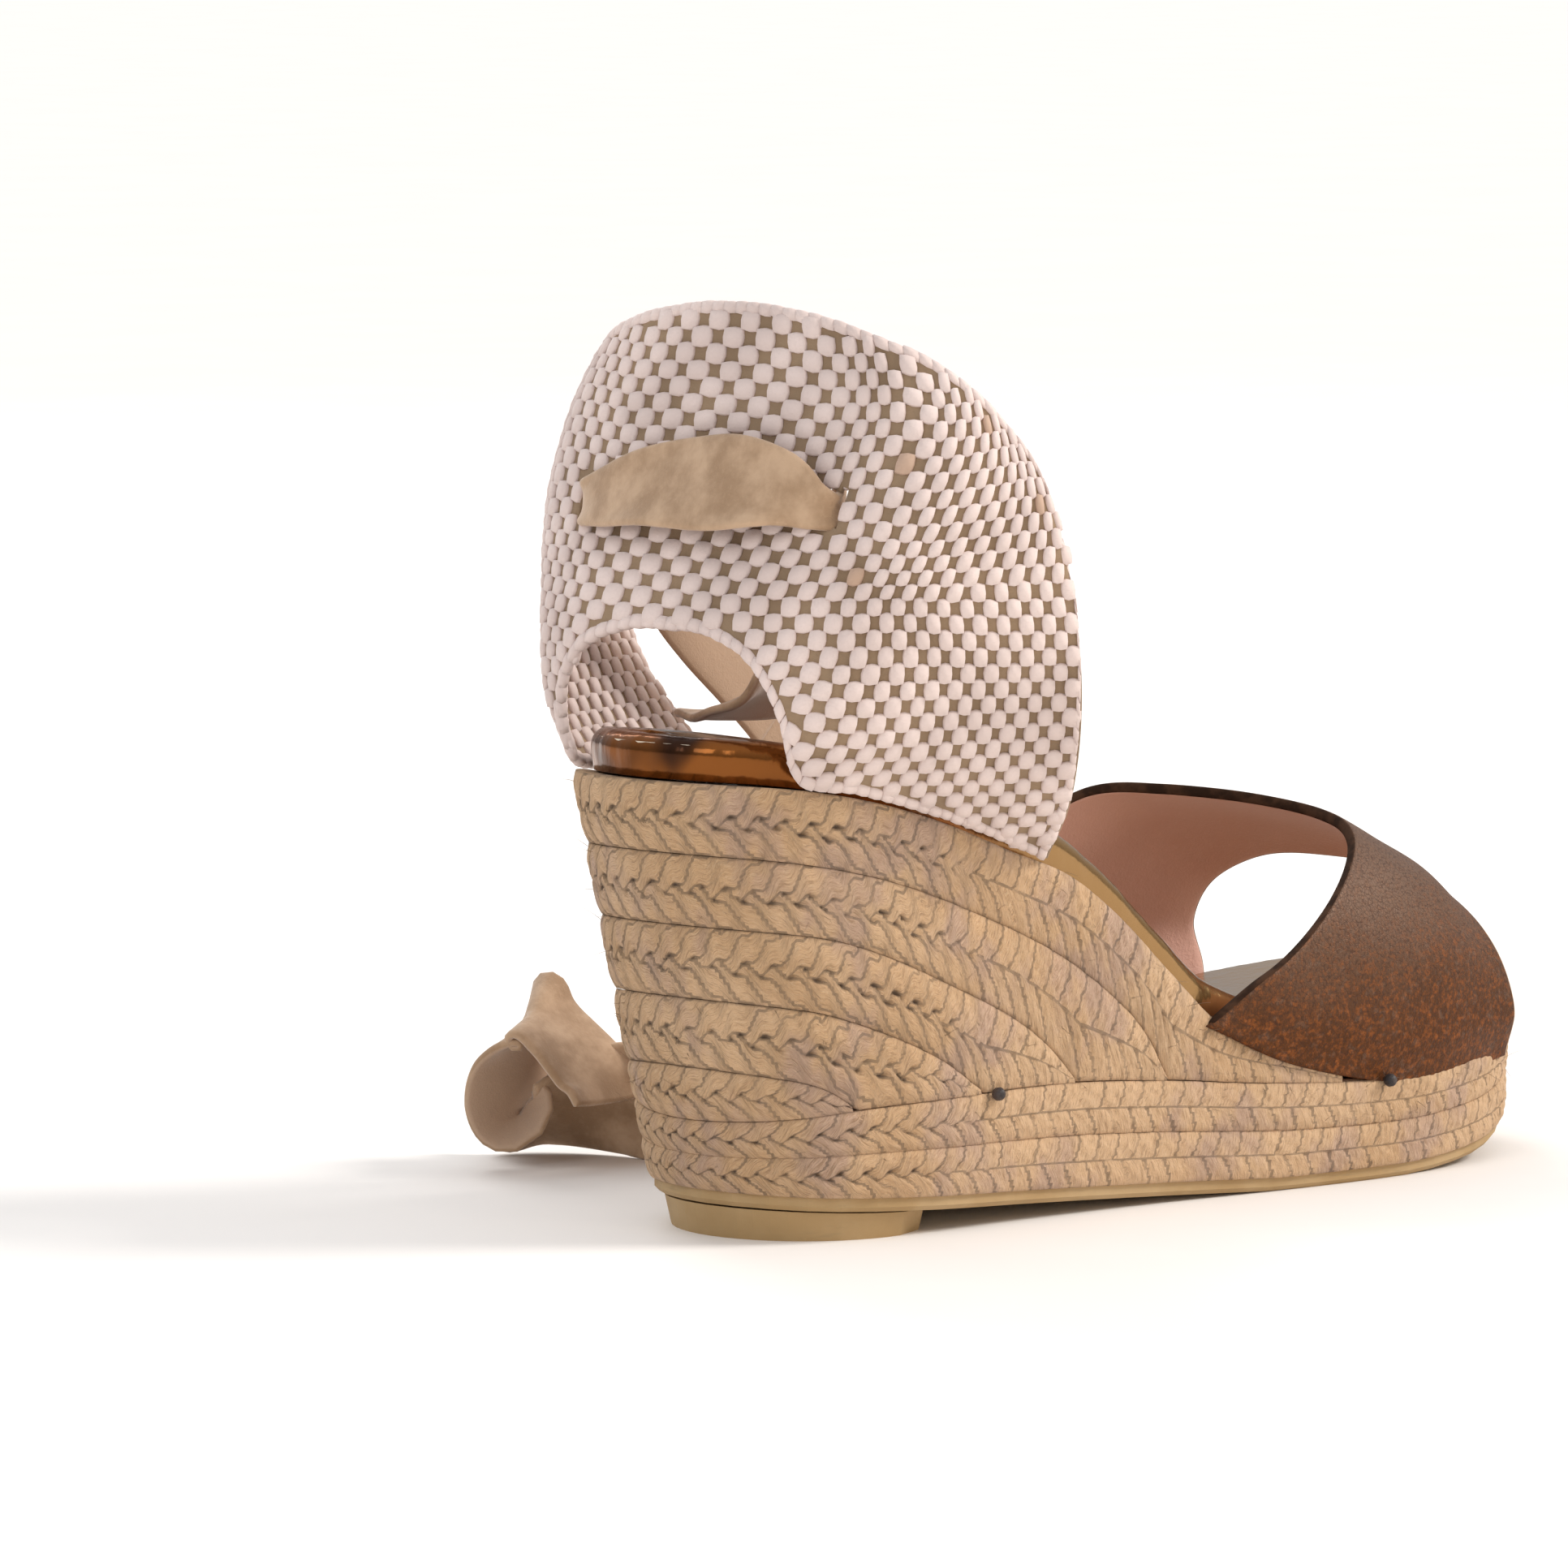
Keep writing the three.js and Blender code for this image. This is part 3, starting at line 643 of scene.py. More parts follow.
# ---------- the foot's form ----------
@dataclass
class FootForm:
    """Outline and side profiles of the sole, from which every layer of the wedge is laid out."""

    low_z: float = 9
    high_z: float = 86
    most_lean: float = 1.15
    turn_step: float = 0.002
    tries: int = 6
    low_heel: float = -30
    low_toe: tuple = (177.5, 3)
    low_stations: tuple = (
        (-21.5, 21, 21), (0, 29.5, 29.5), (28, 31, 29), (60, 34, 30), (95, 39.5, 37),
        (122, 42, 43), (145, 39.5, 41.5), (162, 29.5, 33), (173.5, 15, 20),
    )
    high_heel: float = -49
    high_toe: tuple = (179.5, 3)
    high_stations: tuple = (
        (-41, 21, 21), (-18, 32, 32), (22, 34, 33), (58, 36.5, 33.5), (95, 41.5, 40),
        (122, 43.5, 44.5), (146, 41, 43), (163.5, 30.5, 34), (175.5, 15.5, 20.5),
    )
    heel_sole_z: float = 6.2
    heel_sole_x: float = -28
    ball_start: float = 88
    spring_start: float = 118
    toe_tip: float = 178
    toe_spring: float = 8.5
    spring_power: float = 1.7
    outsole_thick: float = 2.6
    platform_line: Profile = field(default_factory=lambda: Profile([
        (-36, 21.6), (-15, 24.4), (12, 25.1), (36, 25), (60, 23.3), (80, 21.2), (102, 19.6), (122, 19.2),
    ]))
    seat_line: Profile = field(default_factory=lambda: Profile([
        (-52, 85.8), (-34, 84.4), (-18, 81.4), (0, 76.2), (18, 69.6), (33, 64), (46, 55.4),
        (60, 43.2), (71, 33.6), (80, 29.4), (91, 25.4), (104, 19.8),
    ]))

    def __post_init__(self) -> None:
        """Lay out the two outlines."""
        self.low = self.outline(self.low_heel, self.low_stations, self.low_toe)
        self.high = self.outline(self.high_heel, self.high_stations, self.high_toe)

    @staticmethod
    def outline(heel: float, stations: Sequence, toe: Sequence) -> Line:
        """Return a closed outline from the back of the heel, outer side first."""
        outer = [(x, -half) for x, half, _ in stations]
        inner = [(x, half) for x, _, half in reversed(stations)]
        return Line([(heel, 0), *outer, tuple(toe), *inner], closed=True)

    def wall(self, around: Array, z: Array, inset: Array | float = 0.0) -> Array:
        """Return points of the side wall.

        Args:
            around: Places round the foot, 0 to 1 from the back of the heel.
            z: Heights.
            inset: How far inside the wall the points lie.

        Returns:
            The points.
        """
        lean = np.clip((z - self.low_z) / (self.high_z - self.low_z), 0, self.most_lean)[:, None]

        def at(place: Array) -> Array:
            """Return points of the outline at the heights' own lean."""
            return self.low.at(place) * (1 - lean) + self.high.at(place) * lean

        along = unit(at(around + self.turn_step) - at(around - self.turn_step))
        flat = at(around) + np.stack([-along[:, 1], along[:, 0]], axis=-1) * np.reshape(inset, (-1, 1))
        return np.concatenate([flat, np.reshape(z, (-1, 1))], axis=1)

    def wall_on(self, around: Array, height: Callable[[Array], Array], lift: float = 0, inset: float = 0) -> Array:
        """Return wall points whose height follows their own x."""
        point = self.wall(around, np.full(len(around), 20.0), inset)
        for _ in range(self.tries):
            point = self.wall(around, height(point[:, 0]) + lift, inset)
        return point

    def spring(self, x: Array) -> Array:
        """Return the lift of the toe."""
        part = np.maximum(0, (x - self.spring_start) / (self.toe_tip - self.spring_start))
        return self.toe_spring * part**self.spring_power

    def platform_bottom(self, x: Array) -> Array:
        """Return the top of the outsole."""
        fall = np.maximum(0, (self.ball_start - x) / (self.ball_start - self.heel_sole_x))
        return self.heel_sole_z * fall + self.spring(x) + self.outsole_thick

    def platform_top(self, x: Array) -> Array:
        """Return the top of the platform."""
        return self.platform_line(x) + self.spring(x)

    def platform_middle(self, x: Array) -> Array:
        """Return the line between the two platform courses."""
        return (self.platform_bottom(x) + self.platform_top(x)) / 2

    def seat(self, x: Array) -> Array:
        """Return the top of the wedge, where the insole sits."""
        return np.maximum(self.seat_line(x), self.platform_top(x))


FORM = FootForm()


# ---------- the jute wedge ----------
@dataclass
class BraidCourse:
    """One course of braid laid round the wedge, with its strands modelled."""

    name: str
    low: Callable[[Array], Array]
    high: Callable[[Array], Array]
    reach: float = 0.5
    hide_low: bool = False
    hide_high: bool = False
    depth: float = 6.5
    gap: float = -0.1
    bulge: float = 0.55
    groove: float = 0.2
    pitch: float = 5.0
    relief: float = 0.95
    plait_end: tuple = (-14, 26)
    seam_end: tuple = (5, 35)
    strand_slope: tuple = (1.0, 0.55)
    notch_spread: float = 0.36
    dive_spread: float = 0.13
    full_half: float = 4.5
    column_step: float = 0.62
    rows: int = 32
    seam_shade: float = 0.58
    seam_start: float = 0.84
    section_stops: tuple = (0, 0.08, 0.88, 0.96, 1)
    seed: float = 0.0

    def __post_init__(self) -> None:
        """Measure the run of the course."""
        places = np.linspace(-self.reach, self.reach, 1201)
        middle = (self.line(places, self.low) + self.line(places, self.high)) / 2
        run = FORM.wall(places, middle)
        steps = np.linalg.norm(np.diff(run, axis=0), axis=1)
        self.places = places
        self.lengths = np.concatenate([[0], np.cumsum(steps)])
        self.columns = int(self.lengths[-1] / self.column_step)

    @staticmethod
    def line(places: Array, height: Callable[[Array], Array]) -> Array:
        """Return the heights of a line on the wall."""
        return FORM.wall_on(places, height)[:, 2]

    def pattern(self, run: Array, over: Array, half: Array, x: Array) -> tuple[Array, Array, Array]:
        """Work out the plait's relief.

        Args:
            run: Lengths along the course.
            over: Places over its height, -1 at the lower seam and 1 at the upper one.
            half: Half its height there.
            x: Where it is along the foot.

        Returns:
            Relief of about 0 to 1, how deep in a notch each place is, and the strand chart in centimetres.
        """
        side = smooth_step(x, *self.plait_end)
        wobble = np.sin(run * 0.31 + self.seed) * 0.35 + np.sin(run * 0.83 + self.seed * 2.3) * 0.25
        sway = over + (0.12 * np.cos(2 * math.pi * run / self.pitch) + 0.08 * wobble) * (1 - side)
        slope = self.strand_slope[0] - self.strand_slope[1] * side + 0.2 * wobble
        skew = run - slope * np.abs(sway) * half
        upper = sway > 0
        phase = skew / self.pitch + np.where(upper, 0.5, 0.0) + 0.2 * wobble
        strand_number = np.floor(phase) + np.where(upper, 31, 0) + self.seed
        luck = np.abs(np.sin(strand_number * 12.9898) * 43758.5453) % 1
        across = np.abs(2 * (phase % 1) - 1)
        near = np.exp(-((sway / self.notch_spread) ** 2))
        notch = across ** (3 - luck) * (0.2 + 0.8 * near) * (0.4 + 0.6 * luck) * (1 - 0.55 * side)
        dive = np.exp(-((np.abs(sway) / self.dive_spread) ** 2)) * (0.5 - 0.4 * side)
        tufty = 0.25 * np.sin(run * 2.1 + over * 5 + self.seed) * np.sin(run * 0.9 - over * 4)
        relief = 1 - notch - dive * 0.6 + tufty * (0.35 + 0.5 * side) + (luck - 0.5) * 0.25
        hollow_shade = notch * (0.25 + 0.75 * near) * 1.15 + dive * 0.35 * luck
        chart = np.stack([skew / 10 + luck * 7, np.abs(sway) * half / 10], axis=-1)
        return relief, hollow_shade, chart

    def lay(self) -> bpy.types.Object:
        """Build the course and return its object."""
        closed = self.reach >= 0.5
        memory: dict[str, Array] = {}

        def place(along: Array, section: Array) -> Array:
            """Return points along the course and round its section."""
            run = along * self.lengths[-1]
            around = np.interp(run, self.lengths, self.places)
            over = np.interp(section, self.section_stops, [-1, -1, 1, 1, -1])
            inward = np.interp(section, self.section_stops, [1, 0, 0, 1, 1])
            bottom = self.line(around, self.low) + self.gap
            top = self.line(around, self.high) - self.gap
            inner_top = FORM.wall_on(around, self.high, -self.gap, self.depth)[:, 2]
            half = np.maximum((top - bottom) / 2, 0.2)
            x = FORM.wall(around, (bottom + top) / 2)[:, 0]
            relief, hollow_shade, chart = self.pattern(run, over, half, x)
            side = smooth_step(x, *self.seam_end)
            drop_low, drop_high = (
                0.25 + 0.75 * side if hidden else np.ones(len(side)) for hidden in (self.hide_low, self.hide_high)
            )
            drop = self.groove * np.where(over < 0, drop_low, drop_high)
            slim = np.clip(half / self.full_half, 0.25, 1)
            arch = 1 - np.abs(over) ** 4
            out = (self.bulge + drop) * arch * slim - drop + (relief - 0.7) * self.relief * slim * (0.25 + 0.75 * arch)
            z = (bottom + top) / 2 + over * half
            z = np.where(inward > 0, np.minimum(z, np.where(over > 0, inner_top, z)), z)
            points = FORM.wall(around, z, self.depth * inward - out * (1 - inward))
            if not closed:
                centre = FORM.wall(around, (bottom + top) / 2, self.depth * 0.4)
                ends = ((along < 1e-6) | (along > 1 - 1e-6))[:, None]
                points = np.where(ends, centre, points)
            # painted shade along the seams, added to the notch shade in the mark
            crease_shade = self.seam_shade * smooth_step(np.abs(over), self.seam_start, 1.0)
            crease_shade *= np.where(over < 0, drop_low, drop_high)
            seam_shading = crease_shade * (0.75 + 0.25 * np.sin(run * 0.7 + self.seed))
            memory["mark"] = (np.clip(hollow_shade, 0, 1) + seam_shading) * (1 - np.clip(inward * 4, 0, 1))
            memory["chart"] = chart
            return points

        piece = Piece(self.name)
        piece.lay_grid(self.columns, self.rows, place, lambda *_: memory["chart"], lambda *_: memory["mark"])
        return piece.finish(JUTE)


@dataclass
class JuteWedge:
    """All braid courses of the wedge and platform, with the fibres that stand off them."""

    course_lines: tuple = (
        ((-48, 72.6), (-31, 70.6), (-12, 66.2), (14, 57), (30, 50), (43, 42), (53, 33.5), (60, 23)),
        ((-46, 59.4), (-26, 56.8), (-15, 53.6), (1, 47), (19, 39), (29, 32.6), (38, 24)),
        ((-44, 46), (-26, 43.2), (-17, 40.4), (-6, 36), (3, 31.6), (15, 24)),
        ((-42, 33.2), (-34, 31.8), (-23, 29), (-15, 24)),
    )
    least_height: float = 0.9
    fibre_count: int = 520
    fibre_radius: float = 0.07
    tilt: tuple = ((0.6, 0.0, 0.8), (0.0, 1.0, 0.0), (-0.8, 0.0, 0.6))

    def reach_of(self, low: Callable[[Array], Array], high: Callable[[Array], Array]) -> float:
        """Return how far round the foot a heel course runs before it has tapered away."""
        places = np.linspace(0.02, 0.45, 400)
        tall = BraidCourse.line(places, high) - BraidCourse.line(places, low)
        thin = np.nonzero(tall < self.least_height)[0]
        return float(places[thin[0]] if len(thin) else places[-1])

    def lay_courses(self) -> list[bpy.types.Object]:
        """Build the courses, lowest first, each standing for its own CAD node."""
        middle = FORM.platform_middle
        lower = BraidCourse("braid_platform_lower", FORM.platform_bottom, middle, hide_high=True, seed=1.3)
        upper = BraidCourse("braid_platform_upper", middle, FORM.platform_top, hide_low=True, seed=4.1)
        made = [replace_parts(lower.lay(), "platform_course_lower"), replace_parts(upper.lay(), "platform_course_upper")]
        lines = [Profile(points) for points in self.course_lines]
        floor = Profile([(-60, 0), (200, 0)])
        above: Callable[[Array], Array] = FORM.seat
        for number, line in enumerate([*lines, floor], start=1):
            def low(x: Array, line: Profile = line) -> Array:
                """Return the course's lower seam, no lower than the platform."""
                top = FORM.platform_top(x) + 0.1
                return np.where(x > line.x[-1], top, np.maximum(line(x), top))

            course = BraidCourse(f"braid_heel_{number}", low, above, self.reach_of(low, above), seed=2.7 * number)
            made.append(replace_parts(course.lay(), f"heel_course_{number}"))
            above = line
        return made

    def lay_fibres(self) -> bpy.types.Object:
        """Build the loose fibres that stand off the braid."""
        chance = np.random.default_rng(7)
        piece = Piece("jute_fibres")
        for _ in range(self.fibre_count):
            around = chance.uniform(-0.3, 0.3) if chance.random() < 0.8 else chance.uniform(-0.5, 0.5)
            start = np.array([around])
            z = np.array([chance.uniform(12, float(BraidCourse.line(start, FORM.seat)[0]))])
            root = FORM.wall(start, z, -0.6)[0]
            out = unit(FORM.wall(start, z, -2.0)[0] - root)
            lean = unit(np.array([chance.normal(), chance.normal(), chance.normal() * 1.2 + 0.2]))
            length = chance.uniform(1.5, 4.5)
            curl = chance.normal(size=3) * 0.5
            radius = self.fibre_radius * chance.uniform(0.6, 1.2)

            def place(round_it: Array, along: Array) -> Array:
                """Return points round and along one fibre."""
                far = along[:, None] * length
                spine = root + far * (out * 0.22 + lean * 0.75) + (along[:, None] ** 2) * (curl + out * 0.3)
                angle = round_it * 2 * math.pi
                thin = radius * (1 - 0.7 * along)
                ring = np.stack([np.cos(angle) * thin, np.sin(angle) * thin, 0 * thin], axis=-1)
                return spine + ring @ self.tilt

            piece.lay_grid(3, 4, place)
        return piece.finish(JUTE)

    def build(self) -> list[bpy.types.Object]:
        """Build the wedge."""
        made = [*self.lay_courses(), self.lay_fibres()]
        for piece in made:
            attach(piece, "sole")
        return made


# ---------- the insole ----------
@dataclass
class Insole:
    """Bronze leather insole: a soft pad with a rounded, slightly gathered edge."""

    inset: float = 2.9
    thick: float = 8.3
    shoulder: float = 3.4
    lift: float = 0.3
    columns: int = 420
    rows: int = 50
    gather: float = 0.16
    crown: float = 0.5
    foot: float = 0.15
    bend_start: float = 0.4
    bend_end: float = 0.62

    def place(self, around: Array, section: Array) -> Array:
        """Return points from the middle of the underside, round the edge, to the middle of the top."""
        inward = np.interp(section, [0, 0.1, self.bend_end, 1], [1, 0, 0, 1])
        rise = [self.foot, self.bend_start]
        turn = np.interp(section, rise, [0, 1])
        lift = np.interp(section, rise, [self.lift, self.thick - self.shoulder])
        bend = np.clip((section - self.bend_start) / 0.22, 0, 1) * math.pi / 2
        lift = lift + np.sin(bend) * self.shoulder
        inset = self.inset + (1 - np.cos(bend)) * self.shoulder + 0.5 * (1 - turn) ** 2
        turns = 2 * math.pi * around
        ripple = np.sin(turns * 53) * 0.6 + np.sin(turns * 121 + 1) * 0.4
        inset = inset + self.gather * ripple * turn * (1 - np.clip((section - self.bend_end) / 0.1, 0, 1))
        edge = FORM.wall(around, FORM.wall_on(around, FORM.seat)[:, 2], inset)
        other = FORM.wall(1 - around, FORM.wall_on(1 - around, FORM.seat)[:, 2], inset)
        middle = (edge + other) / 2
        point = edge + (middle - edge) * inward[:, None]
        crown = self.crown * np.sin(np.clip((section - self.bend_end) / 0.38, 0, 1) * math.pi / 2)
        point[:, 2] = FORM.seat(point[:, 0]) + lift + crown
        return point

    def build(self) -> bpy.types.Object:
        """Build the insole."""
        piece = Piece("insole_pad")
        piece.lay_grid(self.columns, self.rows, self.place)
        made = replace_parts(piece.finish(BRONZE), "insole_cover")
        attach(made, "sole")
        return made


# ---------- the vamp ----------
@dataclass
class Vamp:
    """Open-toe vamp: crackled leather over a soft lining, with painted and turned edges."""

    hoops: tuple = (
        ((68, -38.6, 35.6), (85, -41.4, 44), (101, -39.5, 54.2), (116, -31, 63.6), (122.5, -17, 67.6),
         (121, 0, 69.6), (115, 17, 70.4), (107, 31, 69), (96, 39.5, 59.5), (83, 40.6, 47), (70, 38.4, 34.8)),
        ((90, -41.6, 26.6), (101, -43.2, 35), (114, -41.8, 47.5), (125, -33.5, 58.5), (130.5, -18, 63.8),
         (131, 0, 65.4), (127, 17.5, 65.8), (119, 32.5, 62.8), (108, 42, 52), (99, 43.4, 39), (92, 42.4, 26)),
        ((124, -43.2, 20.2), (127, -43.4, 30), (132, -41.8, 42), (137.5, -33.5, 53), (138.5, -19, 59.6),
         (138, 0, 61.2), (136.5, 18, 60.6), (133.5, 33, 55.6), (128.5, 42.6, 44), (126, 44.6, 32), (124, 44.8, 20.2)),
        ((151, -40.2, 22.6), (151, -40.6, 30.5), (147.5, -38.8, 41), (145, -31.5, 49.5), (143.4, -18, 56.3),
         (142.8, 0, 58), (143.2, 17, 56.4), (144.2, 30.5, 50), (146.8, 38.6, 41), (151.5, 40.6, 31), (152, 40.6, 22.8)),
    )
    face: float = 0.7
    leather: float = 1.3
    gap: float = 0.1
    lining: float = 0.9
    tuck_down: float = 2.6
    tuck_in: float = 1.6
    rows: int = 150
    columns: int = 44
    edge_radius: float = 0.55
    edge_shift: float = 0.45

    def __post_init__(self) -> None:
        """Lay the hoops into a surface."""
        self.patch = Patch(self.hoops)

    def surface(self, along: Array, across: Array) -> Array:
        """Return points of the vamp's surface, with the slight puckers of lasted leather."""
        point = self.patch.at(along, across)
        pucker = 0.132 * np.sin(along * 23 + across * 4) + 0.084 * np.sin(along * 41 - across * 9)
        point[:, 2] += pucker * np.sin(np.clip(along, 0, 1) * math.pi)
        tuck = 1 - smooth_step(np.minimum(along, 1 - along), 0, 0.07)
        point[:, 2] -= self.tuck_down * tuck
        point[:, 1] -= np.sign(point[:, 1]) * self.tuck_in * tuck
        return point

    def edge_cord(self, name: str, across: float, material: bpy.types.Material, offset: float) -> bpy.types.Object:
        """Build a thin painted or turned edge along one side of the vamp.

        Args:
            name: Name of the piece.
            across: 0 for the throat edge and 1 for the toe edge.
            material: Finish of the edge.
            offset: Offset of its middle from the surface, outwards.

        Returns:
            The edge.
        """
        def place(round_it: Array, along: Array) -> Array:
            """Return points round and along the edge."""
            shrunk = 1 - (np.abs(along - 0.5) > 0.4999)
            point, _, side, normal = frames_on(self.surface, along, np.full(len(along), across))
            angle = round_it * 2 * math.pi
            ring = normal * (np.cos(angle) * (self.leather + self.gap + self.lining) * 0.46 * shrunk)[:, None]
            ring += side * (np.sin(angle) * self.edge_radius * 0.5 * shrunk)[:, None]
            return point + normal * offset + side * (self.edge_shift if across > 0.5 else -self.edge_shift) + ring

        piece = Piece(name)
        piece.lay_grid(10, self.rows, place)
        return piece.finish(material)

    def build(self) -> list[bpy.types.Object]:
        """Build the leather, the lining and their edges."""
        back = self.face - self.leather
        outer = Piece("vamp_leather")
        Skin(self.surface, self.rows, self.columns, self.face, back).lay(outer)
        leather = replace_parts(outer.finish(CRACKLE), "vamp_outer")
        inner = Piece("vamp_soft_lining")
        deep = back - self.gap
        Skin(self.surface, self.rows, self.columns, deep, deep - self.lining).lay(inner)
        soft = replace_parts(inner.finish(LINING), "vamp_lining")
        middle = (self.face + deep - self.lining) / 2
        throat = self.edge_cord("vamp_throat_edge", 0, EDGE_PAINT, middle)
        toe = self.edge_cord("vamp_toe_edge", 1, TURNED_EDGE, middle)
        made = [leather, soft, throat, toe]
        for piece in made:
            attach(piece, "sole")
        return made


# ---------- the woven quarter ----------
@dataclass
class Quarter:
    """Woven cuff: a ground cloth, off-white tufts on both of its faces and along its edges."""

    ribs: tuple = (
        ((-38, 0, 112.5), (-34, 0, 122), (-26.5, 0, 139), (-21.5, 0, 155), (-19.5, 0, 170)),
        ((-38.2, 10, 112), (-34.3, 10.5, 122), (-26.6, 11.5, 139), (-21.5, 11.5, 155), (-19.3, 10.5, 169.5)),
        ((-38.7, 21.4, 107.5), (-34.5, 23.5, 120), (-26, 25.5, 138), (-20.5, 26, 153), (-18, 23, 167.5)),
        ((-37.6, 27.6, 98), (-33, 34, 112), (-25.5, 37.5, 134), (-19.5, 38, 150), (-16, 33, 164.5)),
        ((-33.5, 28.5, 86.2), (-32, 36.8, 101), (-24.5, 43.5, 128), (-16.5, 45.5, 147), (-12.5, 40, 161.5)),
        ((-21, 31.6, 83.5), (-23.5, 40.5, 97), (-19, 49, 124), (-12, 51, 144), (-9.5, 46.5, 157)),
        ((-6, 33.4, 79.3), (-8.5, 43.5, 92), (-7.5, 53, 116), (-4.5, 55.5, 136), (-4.5, 51.5, 150)),
        ((10, 34.1, 74), (7, 45.5, 87), (4, 55.5, 108), (2.5, 58.5, 126), (0.5, 55.5, 141)),
        ((25.5, 34.6, 68.2), (20, 45.5, 80), (12.5, 55, 95.5), (8, 58.6, 111), (4.5, 58.5, 126)),
    )
    cloth: float = 0.9
    pitch_back: float = 3.85
    pitch_front: float = 2.15
    turn: float = 8.0
    pitch_up: float = 3.1
    level: float = 120
    tuft_height: float = 0.78
    tuft_lift: float = 0.52
    edge_margin: float = 1.3
    edge_inset: tuple = (0.012, 0.006)
    lattice_reach: tuple = (45, 22)
    fill: float = 0.64
    slot_y: float = 30.8
    slot_z: tuple = (134.9, 133.3)
    slot_half: tuple = (2.0, 3.2)
    slot_clear: float = 0.7
    pucker_at: tuple = (47, 3)
    pucker_share: float = 0.16
    pucker_spread: float = 9
    edge_pitch: float = 2.95
    edge_tuft: tuple = (1.7, 1.25, 1.2)
    fleck_share: float = 0.007
    flat_height: float = 94
    fold_x: float = -4
    fold_start: float = 80
    fold_end: float = 108

    def __post_init__(self) -> None:
        """Mirror the ribs and measure the cloth."""
        ribs = np.array(self.ribs, float)
        mirrored = ribs[1:][::-1] * np.array([1, -1, 1])
        self.patch = Patch(np.concatenate([mirrored, ribs]))
        self.us = np.linspace(0, 1, 241)
        self.vs = np.linspace(0, 1, 121)
        self.levels = np.linspace(-62, 0, 63)
        u, v = np.meshgrid(self.us, self.vs, indexing="ij")
        net = self.patch.at(v.ravel(), u.ravel()).reshape(len(self.us), len(self.vs), 3)
        rises = np.linalg.norm(np.diff(net, axis=1), axis=2)
        self.rise = np.concatenate([np.zeros((len(self.us), 1)), np.cumsum(rises, axis=1)], axis=1)
        self.level_rise = np.array([np.interp(self.level, line[:, 2], rise) for line, rise in zip(net, self.rise)])
        level_v = np.array([np.interp(up, rise, self.vs) for up, rise in zip(self.level_rise, self.rise)])
        steps = np.linalg.norm(np.diff(self.patch.at(level_v, self.us), axis=0), axis=1)
        self.width = np.concatenate([[0], np.cumsum(steps)])
        self.width -= np.interp(0.5, self.us, self.width)
        self.table = self.measure_rows()
        reach = self.width[-1] - self.edge_margin - 0.02
        extra = (self.pitch_back - self.pitch_front) * self.turn
        self.columns = round((reach - extra) / self.pitch_front)
        self.pitch_share = float(reach / (self.pitch_front * self.columns + extra))
        areas = np.linalg.norm(np.cross(np.diff(net, axis=0)[:, :-1], np.diff(net, axis=1)[:-1]), axis=2)
        self.area = float(areas.sum())

    def measure_rows(self) -> Array:
        """Return lengths across the cloth at each level under the level line, measured in from the front edges."""
        middle = len(self.us) // 2
        total = self.width[-1]
        table = []
        share = 1.0
        for level in self.levels[::-1]:
            target = self.level_rise + level
            along = np.array([np.interp(t, r, self.vs) for t, r in zip(target, self.rise)])
            steps = np.linalg.norm(np.diff(self.surface(along, self.us), axis=0), axis=1)
            lengths = np.concatenate([[0], np.cumsum(steps)])
            half = lengths[-1] - lengths[middle]
            if target[middle] > 0:
                share = total / half
            front = total - (lengths[-1] - lengths[middle:]) * share
            front = np.maximum.accumulate(front - np.minimum(front[0], 0) * (1 - np.linspace(0, 1, len(front))))
            table.append(np.concatenate([-front[:0:-1], front]))
        return np.array(table[::-1])

    def surface(self, along: Array, across: Array) -> Array:
        """Return points of the cloth."""
        return self.patch.at(along, across)

    def gathered(self, a: Array, b: Array) -> tuple[Array, Array]:
        """Return lattice places drawn together in front of each slot, where the tie puckers the cloth."""
        for side in (-1, 1):
            da, db = a - side * self.pucker_at[0], b - self.pucker_at[1]
            near = self.pucker_share * np.exp(-(da**2 + db**2) / (2 * self.pucker_spread**2))
            a, b = a - da * near, b - db * near
        return a, b

    def reach(self, a: Array, b: Array) -> tuple[Array, Array, Array]:
        """Find places of the cloth from lattice lengths.

        Args:
            a: Lengths across the cloth from the middle of the back, along its level line.
            b: Lengths up the cloth from its level line.

        Returns:
            Places along, places across, and which of them lie well inside the edges.
        """
        step = np.clip((b - self.levels[0]) / (self.levels[1] - self.levels[0]), 0, len(self.levels) - 1.001)
        lower = step.astype(int)
        over = (step - lower)[:, None]
        widths = self.table[lower] * (1 - over) + self.table[lower + 1] * over
        across = np.array([np.interp(length, row, self.us) for length, row in zip(a, widths)])
        column = across * (len(self.us) - 1)
        first = np.minimum(column.astype(int), len(self.us) - 2)
        part = (column - first)[:, None]
        rise = self.rise[first] * (1 - part) + self.rise[first + 1] * part
        target = b + self.level_rise[first] * (1 - part[:, 0]) + self.level_rise[first + 1] * part[:, 0]
        margin = self.edge_margin
        inside = (np.abs(a) < self.width[-1] - margin) & (np.abs(a) > np.abs(widths[:, len(self.us) // 2]))
        inside &= (target > margin) & (target < rise[:, -1] - margin)
        along = np.array([np.interp(t, r, self.vs) for t, r in zip(target, rise)])
        return along, across, inside

    def knot_place(self, i: Array, j: Array) -> tuple[Array, Array]:
        """Return the lengths across and up of the crossing of column i and row j, closer set to the front."""
        extra = (self.pitch_back - self.pitch_front) * self.turn
        a = (self.pitch_front * i + extra * np.tanh(i / self.turn)) * self.pitch_share
        return self.gathered(a, j * self.pitch_up)

